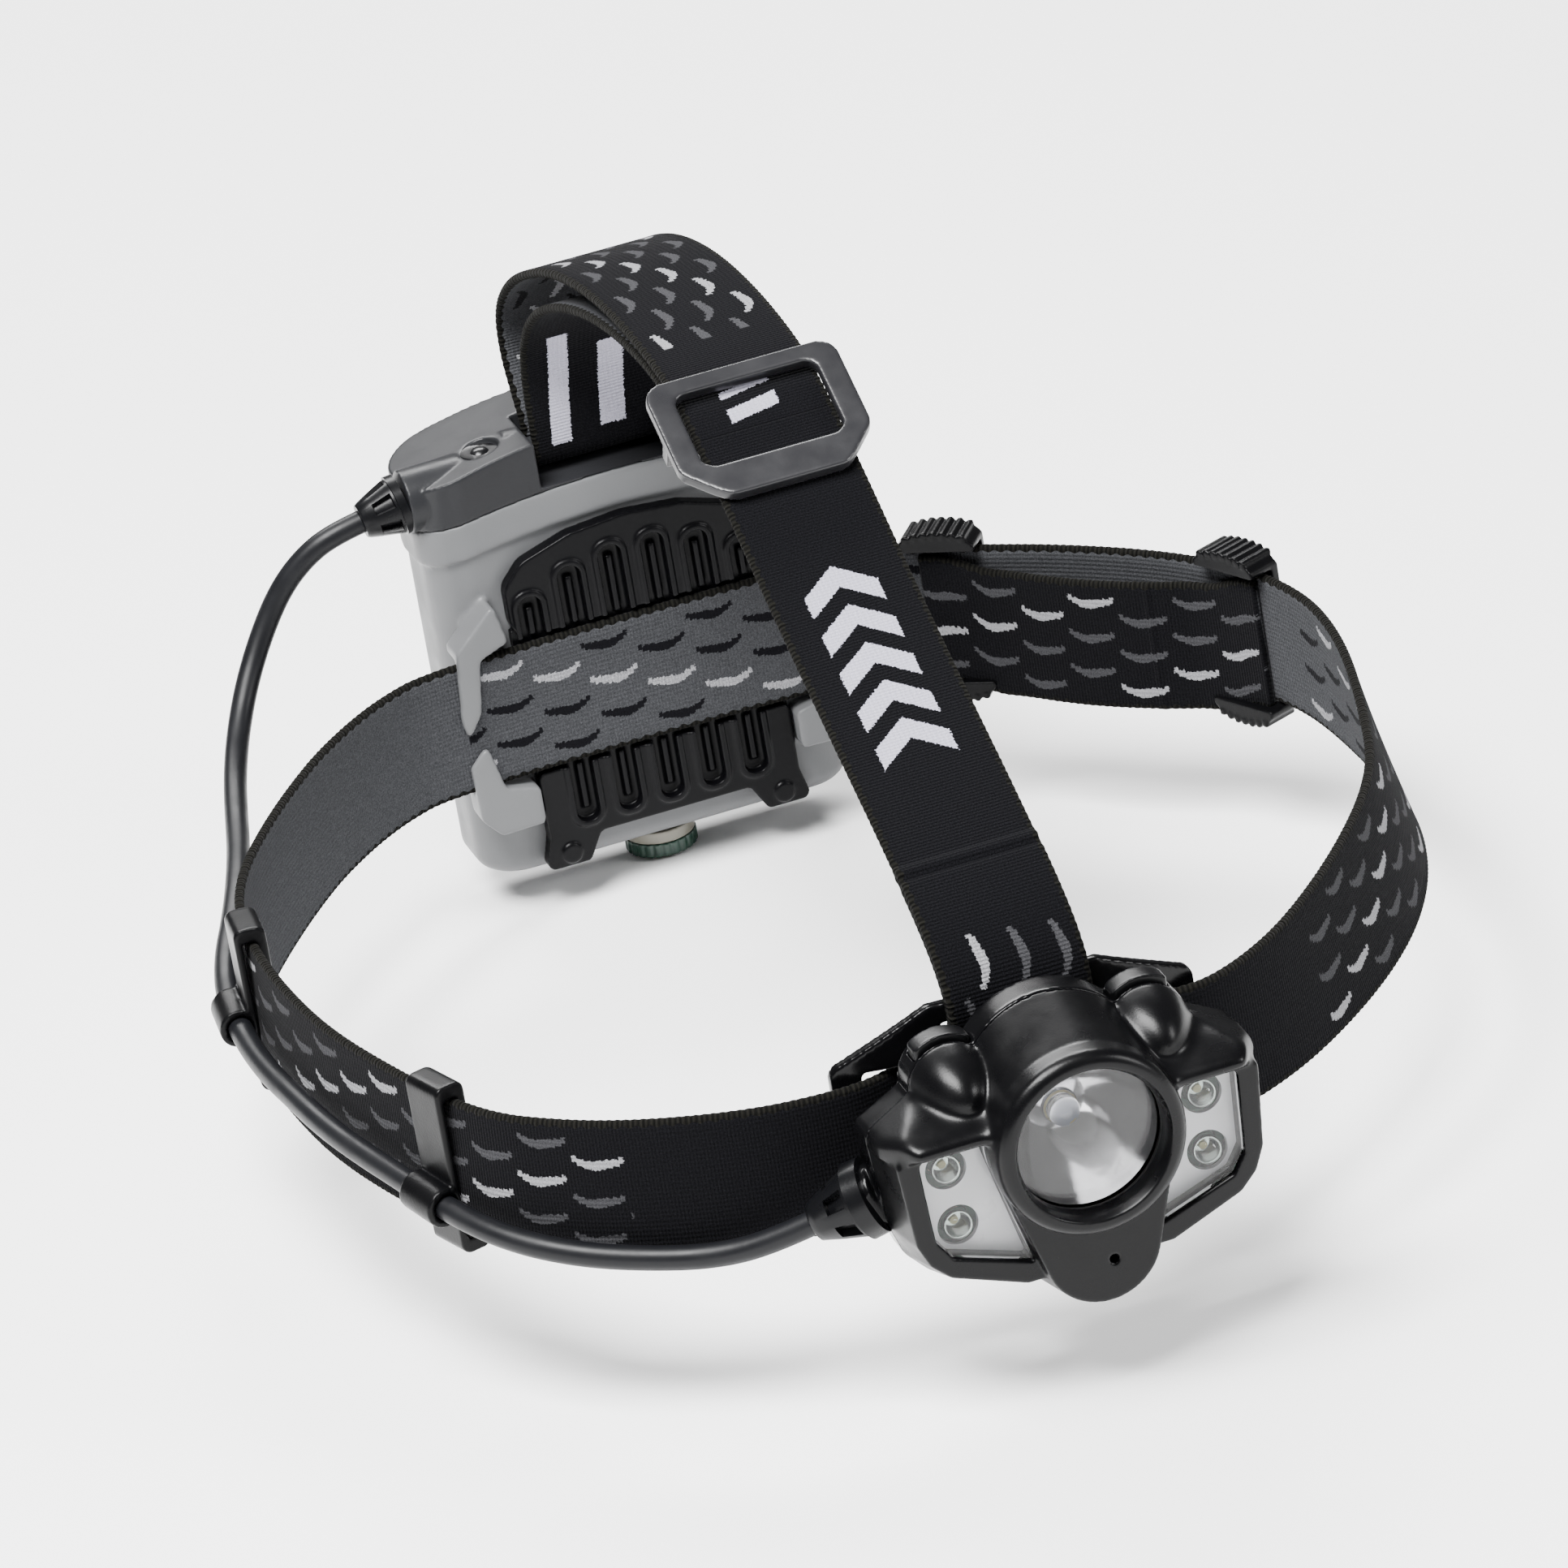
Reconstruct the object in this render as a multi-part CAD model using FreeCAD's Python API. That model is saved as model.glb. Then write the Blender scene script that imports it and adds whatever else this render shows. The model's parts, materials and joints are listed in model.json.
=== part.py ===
import FreeCAD, Part
import math
import os

from FreeCAD import Rotation, Vector

# Headlamp with a rear battery pack, in millimetres.
# Origin: centre of the head opening, at mid-height of the headband. +Z up, beam along -Y.

# ---- driving dimensions -------------------------------------------------------------------

WEB_WIDTH = 25.4
WEB_THICK = 1.6

# Headband centre line in plan, from the front slider round the back, left side and front.
BAND_ROUTE = [
    (98.1, 47.7), (94.8, 55), (86.5, 66.5), (74, 79), (61.5, 88.8), (49.5, 97), (39.5, 102.2),
    (-39.5, 102.2), (-53.5, 95.4), (-67, 83), (-77, 70.4), (-86.6, 56.4), (-95, 42),
    (-100.2, 27), (-102.3, 6), (-101.6, -14), (-99.6, -30), (-95.2, -48), (-87.4, -74),
    (-74, -87.5), (-61, -95.5), (-47, -101.2), (-36, -103), (-27.5, -103),
    (-20, -100), (-10, -101.8), (0, -102.3), (10, -101.8), (20, -100),
    (27.5, -103), (36, -102.3), (49, -94.5), (61, -83.5), (73.5, -69.5), (84.5, -54),
    (92.5, -38), (98, -19), (101.5, 0), (103, 17), (102.8, 31), (100.2, 43.2), (98.7, 46.6),
]
FOLD_ROUTE = [
    (98.2, 43.4), (93.3, 54.2), (83.2, 61), (71.4, 72), (60.4, 87.5), (51.2, 93.7),
]

# Strap over the head, side view (y, z): up from the bracket's slot, through the buckle and over
# to the pack's bar, then back underneath to the buckle.
TOP_FRONT_ROUTE = [
    (-102.4, 15.4), (-105.6, 17.4), (-107.3, 21.6), (-105.6, 27.8), (-98.5, 34.8),
    (-83, 44.4), (-60, 57.2), (-36, 71.5), (-19, 82.62), (-7, 89.6),
]
TOP_REAR_ROUTE = [
    (-7, 89.6), (1.6, 94.6), (14, 97.3), (32, 98.6), (52, 97.6), (73, 93.6), (92, 87),
    (109, 78.8), (120, 69.6), (121.6, 60.5), (118.4, 53.6), (116, 49.4), (116, 46),
]
TOP_RETURN_ROUTE = [
    (116, 46), (116, 42), (110, 42), (109.3, 49), (109.4, 58.5), (105, 69), (93, 78.8),
    (74, 86.8), (53, 92.6), (33, 95.2), (16, 95.2), (2.2, 92.5), (-4, 88.9),
]

# Lead: hand-placed route from the pack's gland, through both clips, to the lamp's gland.
LEAD_RADIUS = 2.15
LEAD_REAR_ROUTE = [
    (-46, 112.5, 40), (-51.9, 112.5, 38.95), (-57.4, 113.3, 35.8), (-62.3, 114.2, 30.9),
    (-66.9, 114, 24.4), (-72.1, 111.2, 17), (-76.8, 105.4, 10.6), (-80.8, 97, 6.2), (-84, 87, 3.9),
    (-87, 76, 2.6), (-91, 62.5, 2.4), (-96, 49, 1.2), (-101.4, 37, -0.6),
    (-104.7, 25.3, -1.9), (-106.2, 10.3, -3.1), (-106.3, -4.5, -3.3), (-105.2, -19, -2.8),
    (-103.6, -31.5, -3.2), (-101, -43, -3.8), (-97.24, -56.2, -4.6), (-94.97, -63.73, -5.4),
]
LEAD_FRONT_ROUTE = [
    (-94.97, -63.73, -5.4), (-92.7, -71.26, -6.2), (-86.5, -82.3, -8), (-77.5, -90.4, -9.9),
    (-67.4, -96.4, -11.1), (-57.8, -101.6, -11.4), (-49.34, -106.6, -9.34), (-41.8, -110.2, -6),
]

# The buckle leans as the strap does where it passes through it.
BUCKLE_LEAN = math.degrees(math.atan2(5.0, 8.6))

# Hardware on the webbing.
SLIDER_LENGTH = 15.0
CLIP_LENGTH = 9.6

# Forehead bracket: part of a cylinder about a vertical axis.
BRACKET_CENTRE_Y = -9.5
BRACKET_INNER = 94.0
BRACKET_OUTER = 96.2
BRACKET_HALF_WIDTH = 32.5
HINGE_Y = -108.7
HINGE_Z = -18.5
HINGE_RADIUS = 2.6
HINGE_PIN_RADIUS = 1.0
KNUCKLE_HALF = 8.0
EAR_THICK = 2.6

# Lamp head.
SEAM_Y = -119.0
REAR_STEP_Y = -113.0
REAR_WALL_Y = -111.5
RIM_Y = -130.8
WINDOW_Y = -130.0
WINDOW_THICK = 1.2
RING_Y = -138.0
RING_Z = 7.2
RING_RADIUS = 16.6
BORE_RADIUS = 13.0
LENS_RADIUS = 14.0
LENS_FRONT_Y = -132.7
LENS_BACK_Y = -131.5
BOARD_FRONT_Y = -121.0
BOARD_BACK_Y = -119.6
HOUSING_WALL = 1.8
SEAM_HALF_OUTLINE = [(33.5, 11.5), (32, -6), (30, -12), (26.5, -16), (13, -21.5)]
SEAM_TOP = [(-23, 17), (23, 17)]
RIM_HALF_OUTLINE = [(32.1, 10.8), (30.7, -5.5), (28.9, -9.6), (25.8, -12.6), (13, -17.6)]
SEAM_EGG = (11.3, 16.5, -14.8, 12)
RING_EGG = (RING_Z, RING_RADIUS, -13.6, 10.4)
DOME_X = 17.5
DOME_Z = 16.5
DOME_RADIUS = 7.2
DOME_LENGTH = 11.4
DOME_PROFILE = [(0, 1), (0.2, 0.965), (0.4, 0.86), (0.6, 0.7), (0.78, 0.5), (0.92, 0.26), (1, 0)]
BUTTON_Y = -116.2
BUTTON_STANDS_PROUD = 1.1
LED_PLACES = [(22.7, 5.0), (22.2, -5.5), (-22.7, 5.0), (-22.2, -5.5)]
LED_RADIUS = 2.5
GLAND_START = Vector(-30.5, -115.6, -1.0)
GLAND_END = Vector(-41.8, -110.2, -6.0)

# Battery pack. The hooks' outlines are for the left-hand side (x, z).
HOOK_GAP = 13.3
UPPER_HOOK = [(-27.7, 22.9), (-36.1, 15.1), (-37.2, 2), (-36.6, -2.6), (-33.2, 2.6), (-31.8, 12.6), (-26, 14.8)]
LOWER_HOOK = [(-33.4, -4), (-37.2, -7.7), (-36.8, -18.6), (-33.5, -22.5), (-25, -22.2), (-25, -14.8), (-31.2, -13.4)]
CASE_HALF_WIDTH = 37.0
CASE_INNER_Y = 104.2
CASE_OUTER_Y = 130.2
CASE_BOTTOM_Z = -34.0
CASE_WALL = 2.0
LID_SEAM_Z = 40.0
LID_SEAM_RADIUS = 173.0
CAP_TOP_Z = 50.0
CAP_TOP_RADIUS = 117.0
RIM_HEIGHT = 7.0
BODY_SETBACK = 0.8
CELL_RADIUS = 7.25
CELL_LENGTH = 50.5
CELL_PITCH = 14.8
CELL_BOTTOM_Z = -24.6
BAR_Y = 113.0
BAR_Z = 45.0
BAR_RADIUS = 1.9
PACK_MID_Y = (CASE_INNER_Y + CASE_OUTER_Y) / 2
PACK_GLAND_Z = 41.5
BOSS_RADIUS = 5.9

X_AXIS = Vector(1, 0, 0)
Y_AXIS = Vector(0, 1, 0)
Z_AXIS = Vector(0, 0, 1)


# ---- shape helpers ------------------------------------------------------------------------

def box(x_low, x_high, y_low, y_high, z_low, z_high):
    corner = Vector(x_low, y_low, z_low)
    return Part.makeBox(x_high - x_low, y_high - y_low, z_high - z_low, corner)


def rod(start, end, radius):
    way = end - start
    return Part.makeCylinder(radius, way.Length, start, way)


def cone(start, end, start_radius, end_radius):
    way = end - start
    return Part.makeCone(start_radius, end_radius, way.Length, start, way)


def ring(start, end, outer, inner):
    return rod(start, end, outer).cut(rod(start, end, inner))


def union(shapes):
    whole = shapes[0]
    if len(shapes) > 1:
        whole = whole.multiFuse(shapes[1:])
    return whole.removeSplitter()


def on_xy(u, v, w):
    return Vector(u, v, w)


def on_xz(u, v, w):
    return Vector(u, w, v)


def on_yz(u, v, w):
    return Vector(w, u, v)


def edge(points):
    if len(points) == 2:
        return Part.LineSegment(points[0], points[1]).toShape()
    return Part.Arc(points[0], points[1], points[2]).toShape()


def corner_arc(before, corner, after, trim):
    """Start, middle and end of the arc that rounds a corner, its radius and its two tangents."""
    come = (corner - before).normalize()
    go = (after - corner).normalize()
    half_turn = come.getAngle(go) / 2
    radius = trim / math.tan(half_turn)
    start = corner - come * trim
    end = corner + go * trim
    inward = (go - come).normalize()
    middle = corner + inward * (radius / math.cos(half_turn) - radius)
    return start, middle, end, radius, come, go


def rounded_wire(points, radius):
    """A closed polygon whose corners all have the same radius, or less where a side is short."""
    count = len(points)
    arcs = []
    for i, corner in enumerate(points):
        before = points[i - 1]
        after = points[(i + 1) % count]
        half_turn = (corner - before).getAngle(after - corner) / 2
        room = 0.45 * min((corner - before).Length, (after - corner).Length)
        arcs.append(corner_arc(before, corner, after, min(radius * math.tan(half_turn), room)))
    edges = []
    for i, arc in enumerate(arcs):
        edges.append(edge(arc[:3]))
        edges.append(edge([arc[2], arcs[(i + 1) % count][0]]))
    return Part.Wire(edges)


def polygon_wire(points, place, level, corner_radius):
    placed = [place(u, v, level) for u, v in points]
    if corner_radius > 0:
        return rounded_wire(placed, corner_radius)
    return Part.makePolygon(placed + placed[:1])


def prism(points, place, low, high, corner_radius=0.0):
    """A flat outline in one plane, extruded square to it from low to high."""
    face = Part.Face(polygon_wire(points, place, low, corner_radius))
    return face.extrude(place(0, 0, high - low))


def loft(wires):
    return Part.makeLoft(wires, True, True)


def mirrored(shape):
    return shape.mirror(Vector(0, 0, 0), X_AXIS)


def both_sides(shape):
    return [shape, mirrored(shape)]


def inset(points, distance):
    """The polygon moved inward by a distance on every side; points run either way round."""
    area = sum(a[0] * b[1] - b[0] * a[1] for a, b in zip(points, points[1:] + points[:1]))
    side = distance if area > 0 else -distance
    lines = []
    for a, b in zip(points, points[1:] + points[:1]):
        length = math.hypot(b[0] - a[0], b[1] - a[1])
        way = ((b[0] - a[0]) / length, (b[1] - a[1]) / length)
        lines.append(((a[0] - way[1] * side, a[1] + way[0] * side), way))
    moved = []
    for (p, d), (q, e) in zip(lines[-1:] + lines[:-1], lines):
        cross = d[0] * e[1] - d[1] * e[0]
        along = ((q[0] - p[0]) * e[1] - (q[1] - p[1]) * e[0]) / cross
        moved.append((p[0] + d[0] * along, p[1] + d[1] * along))
    return moved


# ---- paths: straight runs joined by tangent arcs --------------------------------------------

def tangent_spans(points):
    """Runs and arcs of a route as lists of (point, tangent) pairs, with the arcs' radii."""
    spans = []
    radii = []
    at = points[0]
    way = (points[1] - points[0]).normalize()
    for before, corner, after in zip(points, points[1:], points[2:]):
        trim = 0.45 * min((corner - before).Length, (after - corner).Length)
        start, middle, end, radius, come, go = corner_arc(before, corner, after, trim)
        spans.append([(at, way), (start, come)])
        spans.append([(start, come), (middle, (come + go).normalize()), (end, go)])
        radii.append(radius)
        at = end
        way = go
    spans.append([(at, way), (points[-1], way)])
    return spans, radii


def tube(points, radius):
    spans, radii = tangent_spans(points)
    path = Part.Wire([edge([p for p, t in span]) for span in spans])
    section = Part.Wire([Part.makeCircle(radius, points[0], points[1] - points[0])])
    solid = path.makePipeShell([section], True, True)
    expected = math.pi * radius**2 * path.Length
    print("tube: length %.1f, volume %.4f of section times length" % (path.Length, solid.Volume / expected))
    print("      arc radii", " ".join("%.0f" % r for r in radii))
    return solid


def ribbon(points, across, width, thick):
    """Webbing that follows a plane route, standing square to it."""
    spans = tangent_spans(points)[0]
    sides = []
    for offset in (thick / 2, -thick / 2):
        moved = [[p + t.cross(across) * offset for p, t in span] for span in spans]
        sides.append(moved)
    edges = [edge(span) for side in sides for span in side]
    edges.append(edge([sides[0][0][0], sides[1][0][0]]))
    edges.append(edge([sides[0][-1][-1], sides[1][-1][-1]]))
    face = Part.Face(Part.Wire(Part.__sortEdges__(edges)))
    solid = face.extrude(across * width)
    solid.translate(across * (-width / 2))
    return solid


def side_ribbon(route):
    return ribbon([Vector(x, y, 0) for x, y in route], Z_AXIS, WEB_WIDTH, WEB_THICK)


def top_ribbon(route):
    return ribbon([Vector(0, y, z) for y, z in route], X_AXIS, WEB_WIDTH, WEB_THICK)


# ---- outline of the lamp head -----------------------------------------------------------------

def egg_wire(y, egg, grow):
    """Two circles on the middle plane, joined by their outer tangents."""
    top_z, top_radius, low_z, low_radius = egg
    top_radius += grow
    low_radius += grow
    sine = (low_radius - top_radius) / (top_z - low_z)
    cosine = math.sqrt(1 - sine**2)

    def contact(side, z, radius):
        return on_xz(side * radius * cosine, z + radius * sine, y)

    top = [contact(-1, top_z, top_radius), on_xz(0, top_z + top_radius, y), contact(1, top_z, top_radius)]
    low = [contact(1, low_z, low_radius), on_xz(0, low_z - low_radius, y), contact(-1, low_z, low_radius)]
    return Part.Wire([edge(top), edge([top[2], low[0]]), edge(low), edge([low[2], top[0]])])


def seam_outline():
    right = SEAM_HALF_OUTLINE
    left = [(-x, z) for x, z in reversed(right)]
    return right + left + SEAM_TOP


def frame_outline(right):
    """The lower part of a face's outline, under the brows, from its right half."""
    return right + [(-x, z) for x, z in reversed(right)]


def dome_arch(side, low, high, distance):
    """Round-topped arch at the back of a dome."""
    radius = DOME_RADIUS - distance
    crown = rod(Vector(side * DOME_X, low, DOME_Z), Vector(side * DOME_X, high, DOME_Z), radius)
    foot = box(side * DOME_X - radius, side * DOME_X + radius, low, high, DOME_Z - 6.5, DOME_Z)
    return union([crown, foot])


def seam_form(low, high, distance):
    """The shape of the seam between two planes, moved inward by a distance."""
    body = prism(inset(seam_outline(), distance), on_xz, low, high, 2.0)
    egg = Part.Face(egg_wire(low, SEAM_EGG, -distance)).extrude(Y_AXIS * (high - low))
    domes = [dome_arch(side, low, high, distance) for side in (1, -1)]
    return union([body, egg] + domes)


def egg_body(grow):
    return loft([egg_wire(SEAM_Y, SEAM_EGG, grow), egg_wire(-133.4, RING_EGG, grow)])


def window_bay(low, high, distance):
    """Right-hand flood window opening, between the barrel and the outer frame."""
    outline = inset([(9, 9.4), (28.2, 9.4), (27.4, -5.6), (25, -9.2), (7, -15.5)], distance)
    return prism(outline, on_xz, low, high, 1.0).cut(egg_body(distance))


# ---- lamp head ------------------------------------------------------------------------------

def lamp_axis(y):
    return Vector(0, y, RING_Z)


def dome(side):
    """Bullet nose about an axis that runs forward from the seam."""
    centre = Vector(side * DOME_X, SEAM_Y, DOME_Z)
    points = [centre + Vector(0, -DOME_LENGTH * along, DOME_RADIUS * share) for along, share in DOME_PROFILE]
    curve = Part.BSplineCurve()
    curve.interpolate(points)
    face = Part.Face(Part.Wire([curve.toShape(), edge([points[-1], centre]), edge([centre, points[0]])]))
    return face.revolve(centre, Y_AXIS, 360)


def front_bezel():
    frame = loft([
        polygon_wire(frame_outline(SEAM_HALF_OUTLINE), on_xz, SEAM_Y, 2.0),
        polygon_wire(frame_outline(RIM_HALF_OUTLINE), on_xz, RIM_Y, 2.0),
    ])
    side_view = [(SEAM_Y, 17.5), (-127, 15.5), (-134, 12.9), (-134.3, 11), (-130, 9.6), (SEAM_Y, 9.6)]
    plan = [(-33.5, SEAM_Y), (-33.5, -125), (-29, -134.6), (29, -134.6), (33.5, -125), (33.5, SEAM_Y)]
    front_view = [(-33.5, 8), (-33.5, 12), (-23, 18), (23, 18), (33.5, 12), (33.5, 8)]
    brows = prism(side_view, on_yz, -34, 34)
    brows = brows.common(prism(plan, on_xy, 5, 20, 2.5))
    brows = brows.common(prism(front_view, on_xz, -135, SEAM_Y, 1.5))
    domes = [dome(side) for side in (1, -1)]
    barrel = rod(lamp_axis(-131), lamp_axis(RING_Y), RING_RADIUS)
    barrel = barrel.makeFillet(2.2, [e for e in barrel.Edges if abs(e.CenterOfMass.y - RING_Y) < 0.01])
    back_plane = box(-50, 50, SEAM_Y, SEAM_Y + 20, -50, 50)
    shell = union([frame, brows, egg_body(-0.2), barrel] + domes).cut(back_plane)

    cavity = [
        rod(lamp_axis(SEAM_Y + 1), lamp_axis(-133.2), LENS_RADIUS + 0.1),
        rod(lamp_axis(-133), lamp_axis(RING_Y - 1), BORE_RADIUS),
        cone(lamp_axis(-136.4), lamp_axis(RING_Y - 0.5), BORE_RADIUS, BORE_RADIUS + 1.0),
        seam_form(-121.4, SEAM_Y + 1, 2.2),
        rod(Vector(1.5, -140, -16.5), Vector(1.5, -131, -16.5), 0.8),
    ]
    cavity += both_sides(window_bay(-132, SEAM_Y + 1, 0))
    for x, z in housing_screw_places():
        cavity.append(rod(Vector(x, SEAM_Y + 1, z), Vector(x, -126, z), 0.95))
    return shell.cut(union(cavity)).cut(seal_form())


def seal_form():
    return seam_form(SEAM_Y - 0.5, SEAM_Y, 0.7).cut(seam_form(SEAM_Y - 0.5, SEAM_Y, 1.5))


def button_plan(side, grow):
    half_x = 5.0 + grow
    half_y = 2.1 + grow
    centre = side * DOME_X
    return [
        (centre - half_x, BUTTON_Y - half_y), (centre + half_x, BUTTON_Y - half_y),
        (centre + half_x, BUTTON_Y + half_y), (centre - half_x, BUTTON_Y + half_y),
    ]


def button(side):
    """Cap that follows the dome's arch and stands a little proud of it, on a short stem."""
    ends = [Vector(side * DOME_X, BUTTON_Y + step, DOME_Z) for step in (-4, 4)]
    arch = rod(ends[0], ends[1], DOME_RADIUS + BUTTON_STANDS_PROUD)
    cap = prism(button_plan(side, 0), on_xy, 20.4, 26, 0.8).common(arch)
    stem = rod(Vector(side * DOME_X, BUTTON_Y, 18.2), Vector(side * DOME_X, BUTTON_Y, 20.4), 1.4)
    return union([cap, stem])


def rear_housing():
    outer = union([seam_form(SEAM_Y, REAR_STEP_Y, 0), seam_form(REAR_STEP_Y - 1, REAR_WALL_Y, 1.6)])
    cavity = seam_form(SEAM_Y - 1, REAR_WALL_Y - HOUSING_WALL, HOUSING_WALL)
    knuckle = union([
        rod(Vector(-KNUCKLE_HALF, HINGE_Y, HINGE_Z), Vector(KNUCKLE_HALF, HINGE_Y, HINGE_Z), HINGE_RADIUS),
        box(-KNUCKLE_HALF, KNUCKLE_HALF, REAR_WALL_Y - 1, HINGE_Y, HINGE_Z - HINGE_RADIUS, HINGE_Z + HINGE_RADIUS),
    ])
    boss = rod(gland_point(0.8), gland_point(5.0), 5.4).cut(box(-60, 0, -130, SEAM_Y, -20, 20))
    cuts = [rod(gland_point(-3), gland_point(6), LEAD_RADIUS + 0.2)]
    cuts.append(rod(Vector(-20, HINGE_Y, HINGE_Z), Vector(20, HINGE_Y, HINGE_Z), HINGE_PIN_RADIUS))
    for side in (1, -1):
        cuts.append(prism(button_plan(side, 0.1), on_xy, 19.2, 27, 0.9))
    for x, z in housing_screw_places():
        cuts.append(rod(Vector(x, SEAM_Y - 1, z), Vector(x, -100, z), 0.95))
    posts = [rod(Vector(x, SEAM_Y, z), Vector(x, REAR_WALL_Y - 1, z), 2.2) for x, z in housing_screw_places()]
    shell = outer.cut(cavity)
    return union([shell, knuckle, boss] + posts).cut(union(cuts))


def housing_screw_places():
    return [(29.2, 8.6), (-29.2, 8.6), (25.4, -12.3), (-25.4, -12.3)]


def housing_screws():
    screws = []
    for x, z in housing_screw_places():
        head = rod(Vector(x, REAR_WALL_Y, z), Vector(x, REAR_WALL_Y + 1.2, z), 1.7)
        slot = box(x - 1, x + 1, REAR_WALL_Y + 0.7, REAR_WALL_Y + 2, z - 0.25, z + 0.25)
        cross = box(x - 0.25, x + 0.25, REAR_WALL_Y + 0.7, REAR_WALL_Y + 2, z - 1, z + 1)
        shank = rod(Vector(x, REAR_WALL_Y, z), Vector(x, -125.5, z), 0.9)
        screws.append(union([head, shank]).cut(slot).cut(cross))
    return Part.makeCompound(screws)


def spot_lens():
    return rod(lamp_axis(LENS_BACK_Y), lamp_axis(LENS_FRONT_Y), LENS_RADIUS)


def lens_gasket():
    return ring(lamp_axis(LENS_FRONT_Y), lamp_axis(-133.2), LENS_RADIUS, BORE_RADIUS + 0.2)


def spot_reflector():
    """Parabolic cup: its radius squared grows in step with its depth."""
    depth = 11.6
    scale = BORE_RADIUS**2 / depth
    wall = 0.8

    def curve(first, last, extra):
        steps = [first + (last - first) * i / 6 for i in range(7)]
        points = [Vector(math.sqrt(scale * s) + extra, LENS_BACK_Y + depth - s, RING_Z) for s in steps]
        spline = Part.BSplineCurve()
        spline.interpolate(points)
        return spline.toShape(), points

    inner, inner_points = curve(0.6, depth, 0.0)
    outer, outer_points = curve(depth - wall, 0.6, wall)
    rim = Vector(LENS_RADIUS, LENS_BACK_Y, RING_Z)
    rim_back = Vector(LENS_RADIUS, LENS_BACK_Y + wall, RING_Z)
    lines = [
        edge([inner_points[-1], rim]), edge([rim, rim_back]),
        edge([rim_back, outer_points[0]]), edge([outer_points[-1], inner_points[0]]),
    ]
    face = Part.Face(Part.Wire([inner, lines[0], lines[1], lines[2], outer, lines[3]]))
    return face.revolve(lamp_axis(0), Y_AXIS, 360)


def spot_led():
    star = rod(lamp_axis(-119.5), lamp_axis(-118.1), 8.0)
    base = rod(lamp_axis(-120.3), lamp_axis(-119.5), 1.9)
    dome = Part.makeSphere(1.3, lamp_axis(-120.3))
    return union([star, base, dome])


def heat_sink():
    block = rod(lamp_axis(-118.1), lamp_axis(-113.6), 10.0)
    slots = [box(x - 0.6, x + 0.6, -116.6, -113, -6, 20) for x in (-7.5, -5, -2.5, 0, 2.5, 5, 7.5)]
    return block.cut(union(slots))


def circuit_board():
    board = prism(inset(frame_outline(SEAM_HALF_OUTLINE), 2.6), on_xz, BOARD_FRONT_Y, BOARD_BACK_Y, 1.0)
    holes = [rod(lamp_axis(-123), lamp_axis(-118), LENS_RADIUS + 0.2)]
    for x, z in housing_screw_places():
        holes.append(rod(Vector(x, -123, z), Vector(x, -118, z), 2.4))
    return board.cut(union(holes))


def tact_switches():
    switches = []
    for side in (1, -1):
        x = side * DOME_X
        foot = box(x - 3, x + 3, BOARD_BACK_Y, BOARD_BACK_Y + 1.2, 4.5, 16.2)
        body = box(x - 3, x + 3, BOARD_BACK_Y, -113.7, 13.2, 16.2)
        plunger = rod(Vector(x, BUTTON_Y, 16.2), Vector(x, BUTTON_Y, 17.0), 1.2)
        switches.append(union([foot, body, plunger]))
    return Part.makeCompound(switches)


def flood_window():
    return window_bay(WINDOW_Y, WINDOW_Y + WINDOW_THICK, 0.05)


def flood_panel():
    panel = window_bay(-126.2, -125.2, 0.05)
    cups = []
    for x, z in LED_PLACES[:2]:
        cups.append(rod(Vector(x, -127, z), Vector(x, -124, z), 3.6))
    return panel.cut(union(cups))


def flood_leds():
    leds = []
    for x, z in LED_PLACES:
        base = Vector(x, BOARD_FRONT_Y, z)
        crown = base + Vector(0, -5, 0)
        leds.append(union([
            rod(base, base + Vector(0, -1, 0), LED_RADIUS + 0.4),
            rod(base, crown, LED_RADIUS),
            Part.makeSphere(LED_RADIUS, crown),
        ]))
    return Part.makeCompound(leds)


def gland_point(distance):
    return GLAND_START + (GLAND_END - GLAND_START).normalize() * distance


def slotted_gland(start, way, length, collar, wide, narrow):
    """Collar and cone with a ring of slots, bored for the lead."""
    collar_end = start + way * 2.2
    tip = start + way * length
    body = union([rod(start, collar_end, collar), cone(collar_end, tip, wide, narrow)])
    across = way.cross(Z_AXIS).normalize()
    slots = []
    for turn in range(6):
        arm = Rotation(way, 60 * turn + 30).multVec(across)
        middle = start + way * (0.3 * length + 2) + arm * (wide + 0.4)
        slot = Part.makeBox(1.9, 3.2, 2.4, Vector(-0.95, -1.6, -1.2))
        slot.Placement = FreeCAD.Placement(middle, Rotation(across.cross(way), way, arm, "ZXY"))
        slots.append(slot)
    bore = rod(start - way * 4, tip + way, LEAD_RADIUS + 0.05)
    return body.cut(union(slots)).cut(bore)


def lamp_gland():
    way = (GLAND_END - GLAND_START).normalize()
    length = (GLAND_END - GLAND_START).Length - 5.0
    return slotted_gland(gland_point(5.0), way, length, 6.2, 5.2, 3.2)


# ---- forehead bracket ---------------------------------------------------------------------------

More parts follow.
